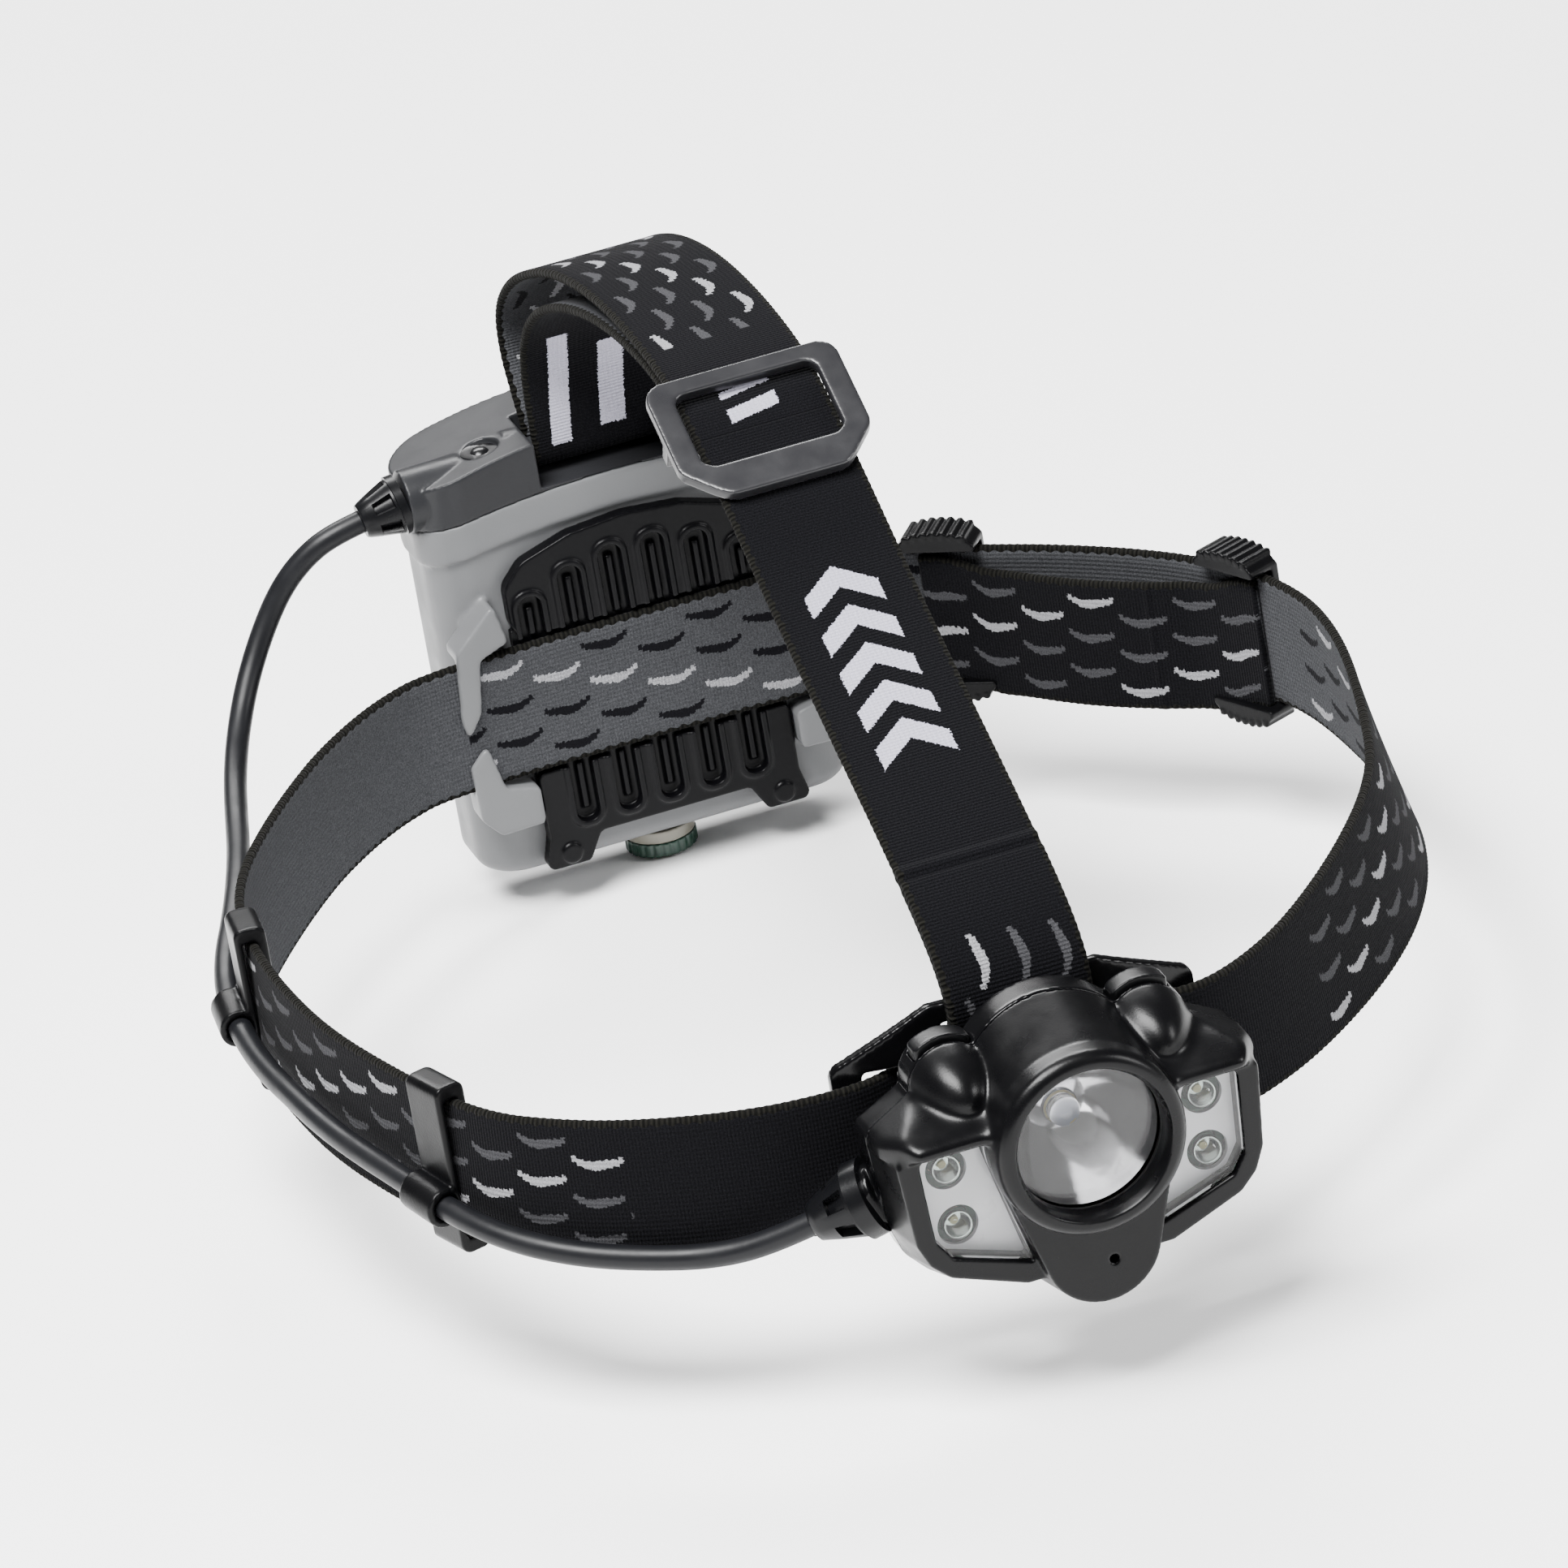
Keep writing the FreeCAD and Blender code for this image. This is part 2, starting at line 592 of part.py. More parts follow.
def bracket_plate():
    axis_foot = Vector(0, BRACKET_CENTRE_Y, -60)
    shell = ring(axis_foot, axis_foot + Z_AXIS * 120, BRACKET_OUTER, BRACKET_INNER)
    outline = [
        (-BRACKET_HALF_WIDTH, -14), (-BRACKET_HALF_WIDTH, 14.5), (-15, 23.5), (15, 23.5),
        (BRACKET_HALF_WIDTH, 14.5), (BRACKET_HALF_WIDTH, -14), (14, -19), (-14, -19),
    ]
    plate = shell.common(prism(outline, on_xz, -115, -60, 3.0))
    ears = []
    for side in (1, -1):
        near = side * (KNUCKLE_HALF + 0.3)
        far = side * (KNUCKLE_HALF + 0.3 + EAR_THICK)
        low, high = min(near, far), max(near, far)
        ears.append(rod(Vector(low, HINGE_Y, HINGE_Z), Vector(high, HINGE_Y, HINGE_Z), HINGE_RADIUS))
        ears.append(box(low, high, HINGE_Y, -104.3, HINGE_Z - HINGE_RADIUS, HINGE_Z + HINGE_RADIUS))
    cuts = [rod(Vector(-20, HINGE_Y, HINGE_Z), Vector(20, HINGE_Y, HINGE_Z), HINGE_PIN_RADIUS + 0.05)]
    slot = [(19.8, -13.4), (27.6, -13.4), (27.6, 13.4), (19.8, 13.4)]
    side_slot = prism(slot, on_xz, -112, -90, 1.0)
    cuts += both_sides(side_slot)
    top_slot = [(-13.5, 13.9), (13.5, 13.9), (13.5, 20), (-13.5, 20)]
    cuts.append(prism(top_slot, on_xz, -112, -90, 1.0))
    return union([plate] + ears).cut(union(cuts))


def hinge_pin():
    half = KNUCKLE_HALF + 0.3 + EAR_THICK
    pin = rod(Vector(-half, HINGE_Y, HINGE_Z), Vector(half, HINGE_Y, HINGE_Z), HINGE_PIN_RADIUS)
    heads = [
        rod(Vector(side * half, HINGE_Y, HINGE_Z), Vector(side * (half + 0.8), HINGE_Y, HINGE_Z), 1.7)
        for side in (1, -1)
    ]
    return union([pin] + heads)


# ---- webbing hardware ---------------------------------------------------------------------------

def placed_on_band(shape, x, y, toward_x, toward_y):
    """Turns hardware made along +X, with +Y outward, onto the band and moves it there."""
    angle = math.degrees(math.atan2(toward_y, toward_x))
    shape.rotate(Vector(0, 0, 0), Z_AXIS, angle)
    shape.translate(Vector(x, y, 0))
    return shape


def side_slider():
    """Slider: two bars outside the webbing, and two arched end rails with a ribbed grip."""
    half = SLIDER_LENGTH / 2
    arch = [(-half, 13.2), (-half, 14.4), (-half + 2, 16.2), (0, 17), (half - 2, 16.2), (half, 14.4), (half, 13.2)]
    rail = prism(arch, on_xz, -3.4, 3.4, 1.0)
    ribs = []
    for step in range(-3, 4):
        x = step * 1.8
        z = 16.7 - 0.026 * x**2
        ribs.append(rod(Vector(x, -3.6, z), Vector(x, 3.8, z), 0.7))
    top = union([rail] + ribs)
    bottom = top.mirror(Vector(0, 0, 0), Z_AXIS)
    bars = [box(x, x + 3.4, 1.9, 3.6, -14, 14) for x in (-half, half - 3.4)]
    return union([top, bottom] + bars)


def cable_clip():
    """Clip on the band: back plate, front plate and two rounded hooks over the edges."""
    half = CLIP_LENGTH / 2
    frame = box(-half, half, -2.6, 3.2, -15.7, 15.7)
    frame = frame.makeFillet(1.7, [e for e in frame.Edges if e.BoundBox.XLength > CLIP_LENGTH - 0.1])
    return frame


def clip_with_eye(x, y, toward_x, toward_y, eye_middle, eye_way):
    clip = placed_on_band(cable_clip(), x, y, toward_x, toward_y)
    reach = eye_way.normalize() * 4.6
    eye = rod(eye_middle - reach, eye_middle + reach, LEAD_RADIUS + 1.5)
    bore = rod(eye_middle - reach * 2, eye_middle + reach * 2, LEAD_RADIUS + 0.2)
    band_room = placed_on_band(box(-8, 8, -1.2, 1.2, -13.1, 13.1), x, y, toward_x, toward_y)
    return union([clip, eye]).cut(bore).cut(band_room)


def top_buckle():
    """Three-bar buckle of the strap over the head; its lower bar is wide and bowed."""
    outline = [(-17.2, -7.5), (-17.2, 12), (17.2, 12), (17.2, -7.5), (10, -14.5), (-10, -14.5)]
    plate = prism(outline, on_xy, 1.2, 3.6, 3.6)
    window = [(-12.2, -7.7), (-12.2, 8.7), (12.2, 8.7), (12.2, -7.7)]
    plate = plate.cut(prism(window, on_xy, 0, 6, 2.4))
    posts = [box(x, x + 2.8, -0.8, 2.0, -3.2, 2.6) for x in (-16.8, 14)]
    bar = rod(Vector(-16, 0.6, -2.05), Vector(16, 0.6, -2.05), 1.15)
    buckle = union([plate, bar] + posts)
    buckle.rotate(Vector(0, 0, 0), X_AXIS, BUCKLE_LEAN)
    buckle.translate(Vector(0, TOP_REAR_ROUTE[0][0], TOP_REAR_ROUTE[0][1]))
    return buckle


# ---- battery pack ---------------------------------------------------------------------------------

def stadium(low, high, distance):
    """The pack's plan, round at both ends, moved inward by a distance."""
    half_y = (CASE_OUTER_Y - CASE_INNER_Y) / 2
    outline = [
        (-CASE_HALF_WIDTH, PACK_MID_Y - half_y), (CASE_HALF_WIDTH, PACK_MID_Y - half_y),
        (CASE_HALF_WIDTH, PACK_MID_Y + half_y), (-CASE_HALF_WIDTH, PACK_MID_Y + half_y),
    ]
    return prism(inset(outline, distance), on_xy, low, high, 9.0 - distance / 2)


def seam_cylinder(drop):
    """Everything under the arched seam between case and cap."""
    level = LID_SEAM_Z - drop - LID_SEAM_RADIUS
    return rod(Vector(0, 90, level), Vector(0, 145, level), LID_SEAM_RADIUS)


def cap_cylinder(drop):
    """Everything under the cap's arched top."""
    level = CAP_TOP_Z - drop - CAP_TOP_RADIUS
    return rod(Vector(0, 90, level), Vector(0, 145, level), CAP_TOP_RADIUS)


def battery_case():
    body = stadium(CASE_BOTTOM_Z, LID_SEAM_Z + 1, BODY_SETBACK)
    body = body.makeFillet(3.0, [e for e in body.Edges if abs(e.CenterOfMass.z - CASE_BOTTOM_Z) < 0.01])
    rim = stadium(20, LID_SEAM_Z + 1, 0).cut(seam_cylinder(RIM_HEIGHT))
    outer = union([body, rim]).common(seam_cylinder(0))
    inner = stadium(CASE_BOTTOM_Z + 2.6, LID_SEAM_Z + 2, CASE_WALL)
    screw_bore = rod(Vector(0, PACK_MID_Y, -40), Vector(0, PACK_MID_Y, -20), 2.1)
    pieces = [outer.cut(inner)]
    for outline in (UPPER_HOOK, LOWER_HOOK):
        for side in (1, -1):
            hook = [(side * x, z) for x, z in outline]
            behind_band = box(-50, 50, 99, 110, -HOOK_GAP, HOOK_GAP)
            pieces.append(prism(hook, on_xz, 99.2, 100.8, 0.8))
            pieces.append(prism(hook, on_xz, 99.2, 106, 0.8).cut(behind_band))
    boss_room = rod(Vector(-20, 112.5, PACK_GLAND_Z), Vector(-40, 112.5, PACK_GLAND_Z), BOSS_RADIUS + 0.1)
    case = union(pieces)
    return case.cut(union([screw_bore, inner, boss_room]))


def pad_grooves():
    """Middle, low end and high end of each groove; both sets run out behind the band."""
    upper = [(-20.5 + step * 8.2, 8.0) for step in range(6)]
    lower = [(-16.4 + step * 8.2, -8.0) for step in range(5)]
    return [(x, z, 27.4 - 0.014 * x**2) for x, z in upper] + [(x, -25.2, z) for x, z in lower]


def back_pad():
    back_y = CASE_INNER_Y + BODY_SETBACK
    arch = [(-24.5, 13.6), (-24.5, 24), (-20.5, 28.2), (-11, 31.2), (0, 32.2),
            (11, 31.2), (20.5, 28.2), (24.5, 24), (24.5, 13.6)]
    upper = prism(arch, on_xz, 101.8, back_y, 4.0)
    skirt = [
        (-24.5, -13.6), (24.5, -13.6), (24.4, -27), (26, -33.2), (17.4, -33.2), (14.6, -28),
        (-14.6, -28), (-17.4, -33.2), (-26, -33.2), (-24.4, -27),
    ]
    lower = prism(skirt, on_xz, 101.8, back_y, 1.5)
    middle = box(-24.5, 24.5, 103.2, back_y, -15, 15)
    bumps = [rod(Vector(x, 101.2, -30.6), Vector(x, 102, -30.6), 1.9) for x in (-20.8, 20.8)]
    grooves = []
    rims = []
    ridges = []
    for x, low, high in pad_grooves():
        outline = [(x - 2.2, low), (x - 2.2, high), (x + 2.2, high), (x + 2.2, low)]
        around = [(x - 3.2, low - 1), (x - 3.2, high + 1), (x + 3.2, high + 1), (x + 3.2, low - 1)]
        grooves.append(prism(outline, on_xz, 100, 103.4, 2.1))
        rims.append(prism(around, on_xz, 101.3, 102.5, 3.1))
        ridges.append(box(x - 0.6, x + 0.6, 102.2, 103.6, low + 2.4, high - 2.4))
    behind_band = box(-30, 30, 100, 103.2, -13.6, 13.6)
    pad = union([upper, lower, middle] + bumps + rims).cut(union(grooves))
    return union([pad] + ridges).cut(behind_band)


def pack_cap():
    outer = stadium(34, CAP_TOP_Z + 1, 0).common(cap_cylinder(0)).cut(seam_cylinder(0))
    plug = stadium(30, 44, CASE_WALL + 0.25)
    hollow = stadium(29, CAP_TOP_Z, CASE_WALL + 2.0).common(cap_cylinder(2.4))
    boss = rod(Vector(-26, 112.5, PACK_GLAND_Z), Vector(-37.6, 112.5, PACK_GLAND_Z), BOSS_RADIUS)
    lugs = []
    for side in (1, -1):
        low, high = sorted([side * 13.6, side * 17.0])
        lugs.append(rod(Vector(low, BAR_Y, BAR_Z), Vector(high, BAR_Y, BAR_Z), 4.2))
    bar = rod(Vector(-14, BAR_Y, BAR_Z), Vector(14, BAR_Y, BAR_Z), BAR_RADIUS)
    strap_room = box(-13.6, 13.6, 100, 119.4, 40.2, 60)
    inner_wall = box(-15.6, 15.6, 119.4, 121.2, 38, 48.5)
    floor = box(-15.6, 15.6, 107, 121.2, 38.4, 40.2).common(stadium(30, 50, 0.5))
    recess = rod(Vector(-22, 112, 47), Vector(-22, 112, 52), 3.6)
    recess_floor = rod(Vector(-22, 112, 44.6), Vector(-22, 112, 47), 4.8)
    shell = union([outer, plug]).cut(hollow).cut(strap_room)
    lead_way = rod(Vector(-20, 112.5, PACK_GLAND_Z), Vector(-39, 112.5, PACK_GLAND_Z), LEAD_RADIUS + 0.3)
    return union([shell, boss, bar, inner_wall, floor, recess_floor] + lugs).cut(recess).cut(lead_way)


def cap_gasket():
    return stadium(31, 32.4, CASE_WALL + 0.05).cut(stadium(31, 32.4, CASE_WALL + 0.25))


def vent_plug():
    plug = rod(Vector(-22, 112, 47), Vector(-22, 112, 48.2), 3.5)
    return plug.cut(rod(Vector(-22, 112, 47.6), Vector(-22, 112, 49), 1.2))


def battery_cradle():
    spine_y = PACK_MID_Y + CELL_RADIUS + 0.2
    base = box(-31, 31, PACK_MID_Y - 8, spine_y + 1.6, CASE_BOTTOM_Z + 2.8, CELL_BOTTOM_Z - 0.7)
    spine = box(-30, 30, spine_y, spine_y + 1.6, CASE_BOTTOM_Z + 3, 29.9)
    top = box(-31, 31, PACK_MID_Y - 8, spine_y + 1.6, CELL_BOTTOM_Z + CELL_LENGTH + 1.9, 29.9)
    insert_bore = rod(Vector(0, PACK_MID_Y, -40), Vector(0, PACK_MID_Y, -20), 3.4)
    return union([base, spine, top]).cut(insert_bore)


def thread_insert():
    return ring(Vector(0, PACK_MID_Y, CASE_BOTTOM_Z + 2.8), Vector(0, PACK_MID_Y, CELL_BOTTOM_Z - 0.7), 3.4, 2.06)


def cell_places():
    return [(i - 1.5) * CELL_PITCH for i in range(4)]


def battery_cells():
    cells = []
    for i, x in enumerate(cell_places()):
        low = Vector(x, PACK_MID_Y, CELL_BOTTOM_Z)
        high = low + Z_AXIS * (CELL_LENGTH - 1)
        nub_foot, nub_way = (high, Z_AXIS) if i % 2 == 0 else (low + Z_AXIS, -Z_AXIS)
        can = rod(low + Z_AXIS * (i % 2), high + Z_AXIS * (i % 2), CELL_RADIUS)
        cells.append(union([can, rod(nub_foot, nub_foot + nub_way, 2.7)]))
    return Part.makeCompound(cells)


def contact_springs():
    """The flat-coiled springs at the cells' flat ends, as short cones."""
    springs = []
    for i, x in enumerate(cell_places()):
        if i % 2 == 0:
            start = Vector(x, PACK_MID_Y, CELL_BOTTOM_Z - 0.7)
            springs.append(cone(start, start + Z_AXIS * 0.7, 3.2, 2.4))
        else:
            start = Vector(x, PACK_MID_Y, CELL_BOTTOM_Z + CELL_LENGTH + 1.3)
            springs.append(cone(start, start - Z_AXIS * 1.3, 3.2, 2.4))
    return Part.makeCompound(springs)


def contact_plates():
    plates = []
    level = CELL_BOTTOM_Z + CELL_LENGTH + 1.3
    for x in (-CELL_PITCH, CELL_PITCH):
        plates.append(box(x - 12, x + 12, PACK_MID_Y - 5, PACK_MID_Y + 5, level, level + 0.6))
    return Part.makeCompound(plates)


def driver_board():
    board = box(-29, -17.5, 116.5, 125, 34, 35.2)
    chip = box(-26, -21, 118.5, 122.5, 35.2, 37)
    return union([board, chip])


def pack_gland():
    start = Vector(-37.6, 112.5, PACK_GLAND_Z)
    end = Vector(-46, 112.5, 40)
    way = (end - start).normalize()
    gland = slotted_gland(start, way, (end - start).Length, 5.6, 5.0, 3.1)
    return gland.cut(box(-37.6, 0, 100, 130, 30, 55))


def thumbscrew():
    """Knob with a coin slot; its lower part is stepped in for the grip ring."""
    knob = union([
        rod(Vector(0, PACK_MID_Y, -38.4), Vector(0, PACK_MID_Y, -36), 6.6),
        rod(Vector(0, PACK_MID_Y, -41.2), Vector(0, PACK_MID_Y, -38.4), 5.6),
    ])
    coin_slot = box(-5, 5, PACK_MID_Y - 0.8, PACK_MID_Y + 0.8, -42, -40)
    shank = rod(Vector(0, PACK_MID_Y, -36), Vector(0, PACK_MID_Y, -26), 2.0)
    return union([knob.cut(coin_slot), shank])


def screw_grip_ring():
    grip = ring(Vector(0, PACK_MID_Y, -41), Vector(0, PACK_MID_Y, -38.4), 6.8, 5.6)
    notches = []
    for step in range(24):
        turn = math.radians(step * 360 / 24)
        foot = Vector(7.1 * math.cos(turn), PACK_MID_Y + 7.1 * math.sin(turn), -42)
        notches.append(rod(foot, foot + Z_AXIS * 7, 0.55))
    return grip.cut(union(notches))


def screw_o_ring():
    torus = Part.makeTorus(4.6, 0.95, Vector(0, PACK_MID_Y, -35.02), Z_AXIS)
    trim = box(-10, 10, PACK_MID_Y - 10, PACK_MID_Y + 10, -35.98, -34.02)
    return torus.common(trim)


# ---- all pieces -----------------------------------------------------------------------------------

def clip_front():
    way = Vector(0.287, -0.953, -0.1)
    return clip_with_eye(-90.85, -62.5, 0.287, -0.958, Vector(*LEAD_FRONT_ROUTE[0]), way)


def clip_rear():
    return clip_with_eye(-101.18, 17.2, -0.0995, -0.995, Vector(-105.42, 17.8, -2.5), Vector(-1.5, -15, -1.2))


def pieces():
    window = flood_window()
    panel = flood_panel()
    return {
        "front_bezel": front_bezel(),
        "rear_housing": rear_housing(),
        "housing_seal": seal_form(),
        "spot_lens": spot_lens(),
        "lens_gasket": lens_gasket(),
        "spot_reflector": spot_reflector(),
        "spot_led": spot_led(),
        "heat_sink": heat_sink(),
        "circuit_board": circuit_board(),
        "tact_switches": tact_switches(),
        "flood_window_right": window,
        "flood_window_left": mirrored(window),
        "flood_panel_right": panel,
        "flood_panel_left": mirrored(panel),
        "flood_leds": flood_leds(),
        "spot_button": button(-1),
        "flood_button": button(1),
        "housing_screws": housing_screws(),
        "lamp_gland": lamp_gland(),
        "bracket_plate": bracket_plate(),
        "hinge_pin": hinge_pin(),
        "headband": side_ribbon(BAND_ROUTE),
        "headband_fold": side_ribbon(FOLD_ROUTE),
        "top_strap_front": top_ribbon(TOP_FRONT_ROUTE),
        "top_strap_rear": top_ribbon(TOP_REAR_ROUTE),
        "top_strap_return": top_ribbon(TOP_RETURN_ROUTE),
        "top_buckle": top_buckle(),
        "side_slider_front": placed_on_band(side_slider(), 96.7, 48.75, 0.419, -0.908),
        "side_slider_rear": placed_on_band(side_slider(), 55.0, 92.2, 0.826, -0.564),
        "cable_clip_front": clip_front(),
        "cable_clip_rear": clip_rear(),
        "lead_front": tube([Vector(*p) for p in LEAD_FRONT_ROUTE], LEAD_RADIUS),
        "lead_rear": tube([Vector(*p) for p in LEAD_REAR_ROUTE], LEAD_RADIUS),
        "battery_case": battery_case(),
        "back_pad": back_pad(),
        "pack_cap": pack_cap(),
        "cap_gasket": cap_gasket(),
        "vent_plug": vent_plug(),
        "battery_cradle": battery_cradle(),
        "battery_cells": battery_cells(),
        "contact_springs": contact_springs(),
        "contact_plates": contact_plates(),
        "driver_board": driver_board(),
        "thread_insert": thread_insert(),
        "pack_gland": pack_gland(),
        "thumbscrew": thumbscrew(),
        "screw_grip_ring": screw_grip_ring(),
        "screw_o_ring": screw_o_ring(),
    }


def main():
    os.makedirs("parts", exist_ok=True)
    for name, shape in pieces().items():
        shape.exportStep("parts/%s.step" % name)
        print("%-20s solids %d volume %9.1f valid %s" % (name, len(shape.Solids), shape.Volume, shape.isValid()))


main()
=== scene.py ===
"""Headlamp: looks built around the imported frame, with +Z up through the head.
Routes and piece sizes are millimetres, which MM turns into metres. The camera, the lights, the floor and
the ends of each blend are in metres."""
import json
import math

import bmesh
import bpy
from mathutils import Matrix, Vector


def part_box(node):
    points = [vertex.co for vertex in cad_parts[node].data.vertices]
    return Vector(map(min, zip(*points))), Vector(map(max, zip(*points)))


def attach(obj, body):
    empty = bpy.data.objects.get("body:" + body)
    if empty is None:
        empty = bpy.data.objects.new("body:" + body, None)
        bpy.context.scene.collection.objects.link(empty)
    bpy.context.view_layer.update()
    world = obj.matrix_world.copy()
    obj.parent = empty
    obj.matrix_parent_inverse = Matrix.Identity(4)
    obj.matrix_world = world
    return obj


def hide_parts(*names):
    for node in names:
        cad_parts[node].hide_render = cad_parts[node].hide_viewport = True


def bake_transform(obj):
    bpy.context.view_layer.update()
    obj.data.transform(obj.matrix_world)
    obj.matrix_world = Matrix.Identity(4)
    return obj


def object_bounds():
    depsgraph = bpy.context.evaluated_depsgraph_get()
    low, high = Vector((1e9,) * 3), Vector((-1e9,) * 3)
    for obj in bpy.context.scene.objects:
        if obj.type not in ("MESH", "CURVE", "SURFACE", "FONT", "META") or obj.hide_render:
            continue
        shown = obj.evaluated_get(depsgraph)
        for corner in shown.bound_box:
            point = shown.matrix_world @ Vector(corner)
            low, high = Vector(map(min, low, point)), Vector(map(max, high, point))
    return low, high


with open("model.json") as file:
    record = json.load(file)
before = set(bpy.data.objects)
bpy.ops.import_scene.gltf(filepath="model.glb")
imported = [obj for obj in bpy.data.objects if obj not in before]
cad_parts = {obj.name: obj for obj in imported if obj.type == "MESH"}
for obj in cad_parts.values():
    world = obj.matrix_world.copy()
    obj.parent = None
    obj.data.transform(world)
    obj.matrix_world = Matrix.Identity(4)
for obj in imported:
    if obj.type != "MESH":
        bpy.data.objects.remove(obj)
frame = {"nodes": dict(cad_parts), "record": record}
CAD_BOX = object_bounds()
NODE_BODY = {node: body for body, nodes in frame["record"]["behaviour"]["bodies"].items() for node in nodes}
NODE_SLOT = {part["node"]: part["material_slot"] for part in frame["record"]["subparts"]}
MM = 0.001
ROOT = "headband_body"

# Webbing and lead, millimetres: the same routes as the frame's.
WEB_WIDTH = 25.4
WEB_THICK = 1.6
BAND_ROUTE = [
    (98.1, 47.7), (94.8, 55), (86.5, 66.5), (74, 79), (61.5, 88.8), (49.5, 97), (39.5, 102.2),
    (-39.5, 102.2), (-53.5, 95.4), (-67, 83), (-77, 70.4), (-86.6, 56.4), (-95, 42),
    (-100.2, 27), (-102.3, 6), (-101.6, -14), (-99.6, -30), (-95.2, -48), (-87.4, -74),
    (-74, -87.5), (-61, -95.5), (-47, -101.2), (-36, -103), (-27.5, -103),
    (-20, -100), (-10, -101.8), (0, -102.3), (10, -101.8), (20, -100),
    (27.5, -103), (36, -102.3), (49, -94.5), (61, -83.5), (73.5, -69.5), (84.5, -54),
    (92.5, -38), (98, -19), (101.5, 0), (103, 17), (102.8, 31), (100.2, 43.2), (98.7, 46.6),
]
FOLD_ROUTE = [
    (98.2, 43.4), (93.3, 54.2), (83.2, 61), (71.4, 72), (60.4, 87.5), (51.2, 93.7),
]
TOP_FRONT_ROUTE = [
    (-102.4, 15.4), (-105.6, 17.4), (-107.3, 21.6), (-105.6, 27.8), (-98.5, 34.8),
    (-83, 44.4), (-60, 57.2), (-36, 71.5), (-19, 82.62), (-7, 89.6),
]
TOP_REAR_ROUTE = [
    (-7, 89.6), (1.6, 94.6), (14, 97.3), (32, 98.6), (52, 97.6), (73, 93.6), (92, 87),
    (109, 78.8), (120, 69.6), (121.6, 60.5), (118.4, 53.6), (116, 49.4), (116, 46),
]
TOP_RETURN_ROUTE = [
    (116, 46), (116, 42), (110, 42), (109.3, 49), (109.4, 58.5), (105, 69), (93, 78.8),
    (74, 86.8), (53, 92.6), (33, 95.2), (16, 95.2), (2.2, 92.5), (-4, 88.9),
]
LEAD_RADIUS = 2.15
LEAD_REAR_ROUTE = [
    (-46, 112.5, 40), (-51.9, 112.5, 38.95), (-57.4, 113.3, 35.8), (-62.3, 114.2, 30.9),
    (-66.9, 114, 24.4), (-72.1, 111.2, 17), (-76.8, 105.4, 10.6), (-80.8, 97, 6.2), (-84, 87, 3.9),
    (-87, 76, 2.6), (-91, 62.5, 2.4), (-96, 49, 1.2), (-101.4, 37, -0.6),
    (-104.7, 25.3, -1.9), (-106.2, 10.3, -3.1), (-106.3, -4.5, -3.3), (-105.2, -19, -2.8),
    (-103.6, -31.5, -3.2), (-101, -43, -3.8), (-97.24, -56.2, -4.6), (-94.97, -63.73, -5.4),
]
LEAD_FRONT_ROUTE = [
    (-94.97, -63.73, -5.4), (-92.7, -71.26, -6.2), (-86.5, -82.3, -8), (-77.5, -90.4, -9.9),
    (-67.4, -96.4, -11.1), (-57.8, -101.6, -11.4), (-49.34, -106.6, -9.34), (-41.8, -110.2, -6),
]
LAMP_GLAND_FOOT = (-30.5, -115.6, -1)
PACK_GLAND_FOOT = (-37.6, 112.5, 41.5)
VENT_FOOT = (-22, 112, 47)


# ---- camera, light and floor -----------------------------------------------------------------

CAMERA_AZIMUTH = math.radians(-14.59)
CAMERA_ELEVATION = math.radians(25)
CAMERA_ROLL = math.radians(9.88)
CAMERA_TARGET = Vector((-0.0056, 0, 0.0199))
CAMERA_DISTANCE = 2.0
CAMERA_LENS = 263.8
WORLD_STRENGTH = 0.14
FLOOR_HALF = 6
FLOOR_GAP = 0.0005


def make_camera():
    azimuth, elevation, roll = CAMERA_AZIMUTH, CAMERA_ELEVATION, CAMERA_ROLL
    back = Vector((
        math.sin(azimuth) * math.cos(elevation),
        -math.cos(azimuth) * math.cos(elevation),
        math.sin(elevation),
    ))
    level = Vector((math.cos(azimuth), math.sin(azimuth), 0))
    upright = back.cross(level)
    right = level * math.cos(roll) - upright * math.sin(roll)
    up = upright * math.cos(roll) + level * math.sin(roll)
    data = bpy.data.cameras.new("camera")
    data.lens = CAMERA_LENS
    data.sensor_width = 36
    data.clip_end = 50
    camera = bpy.data.objects.new("camera", data)
    turn = Matrix((right, up, back)).transposed().to_4x4()
    camera.matrix_world = Matrix.Translation(CAMERA_TARGET + back * CAMERA_DISTANCE) @ turn
    bpy.context.scene.collection.objects.link(camera)
    bpy.context.scene.camera = camera


def area_light(name, place, size, power):
    """A white rectangular softbox that faces the origin."""
    data = bpy.data.lights.new(name, "AREA")
    data.shape = "RECTANGLE"
    data.size, data.size_y = size
    data.energy = power
    light = bpy.data.objects.new(name, data)
    light.location = place
    light.rotation_euler = (-Vector(place)).to_track_quat("-Z", "Y").to_euler()
    bpy.context.scene.collection.objects.link(light)


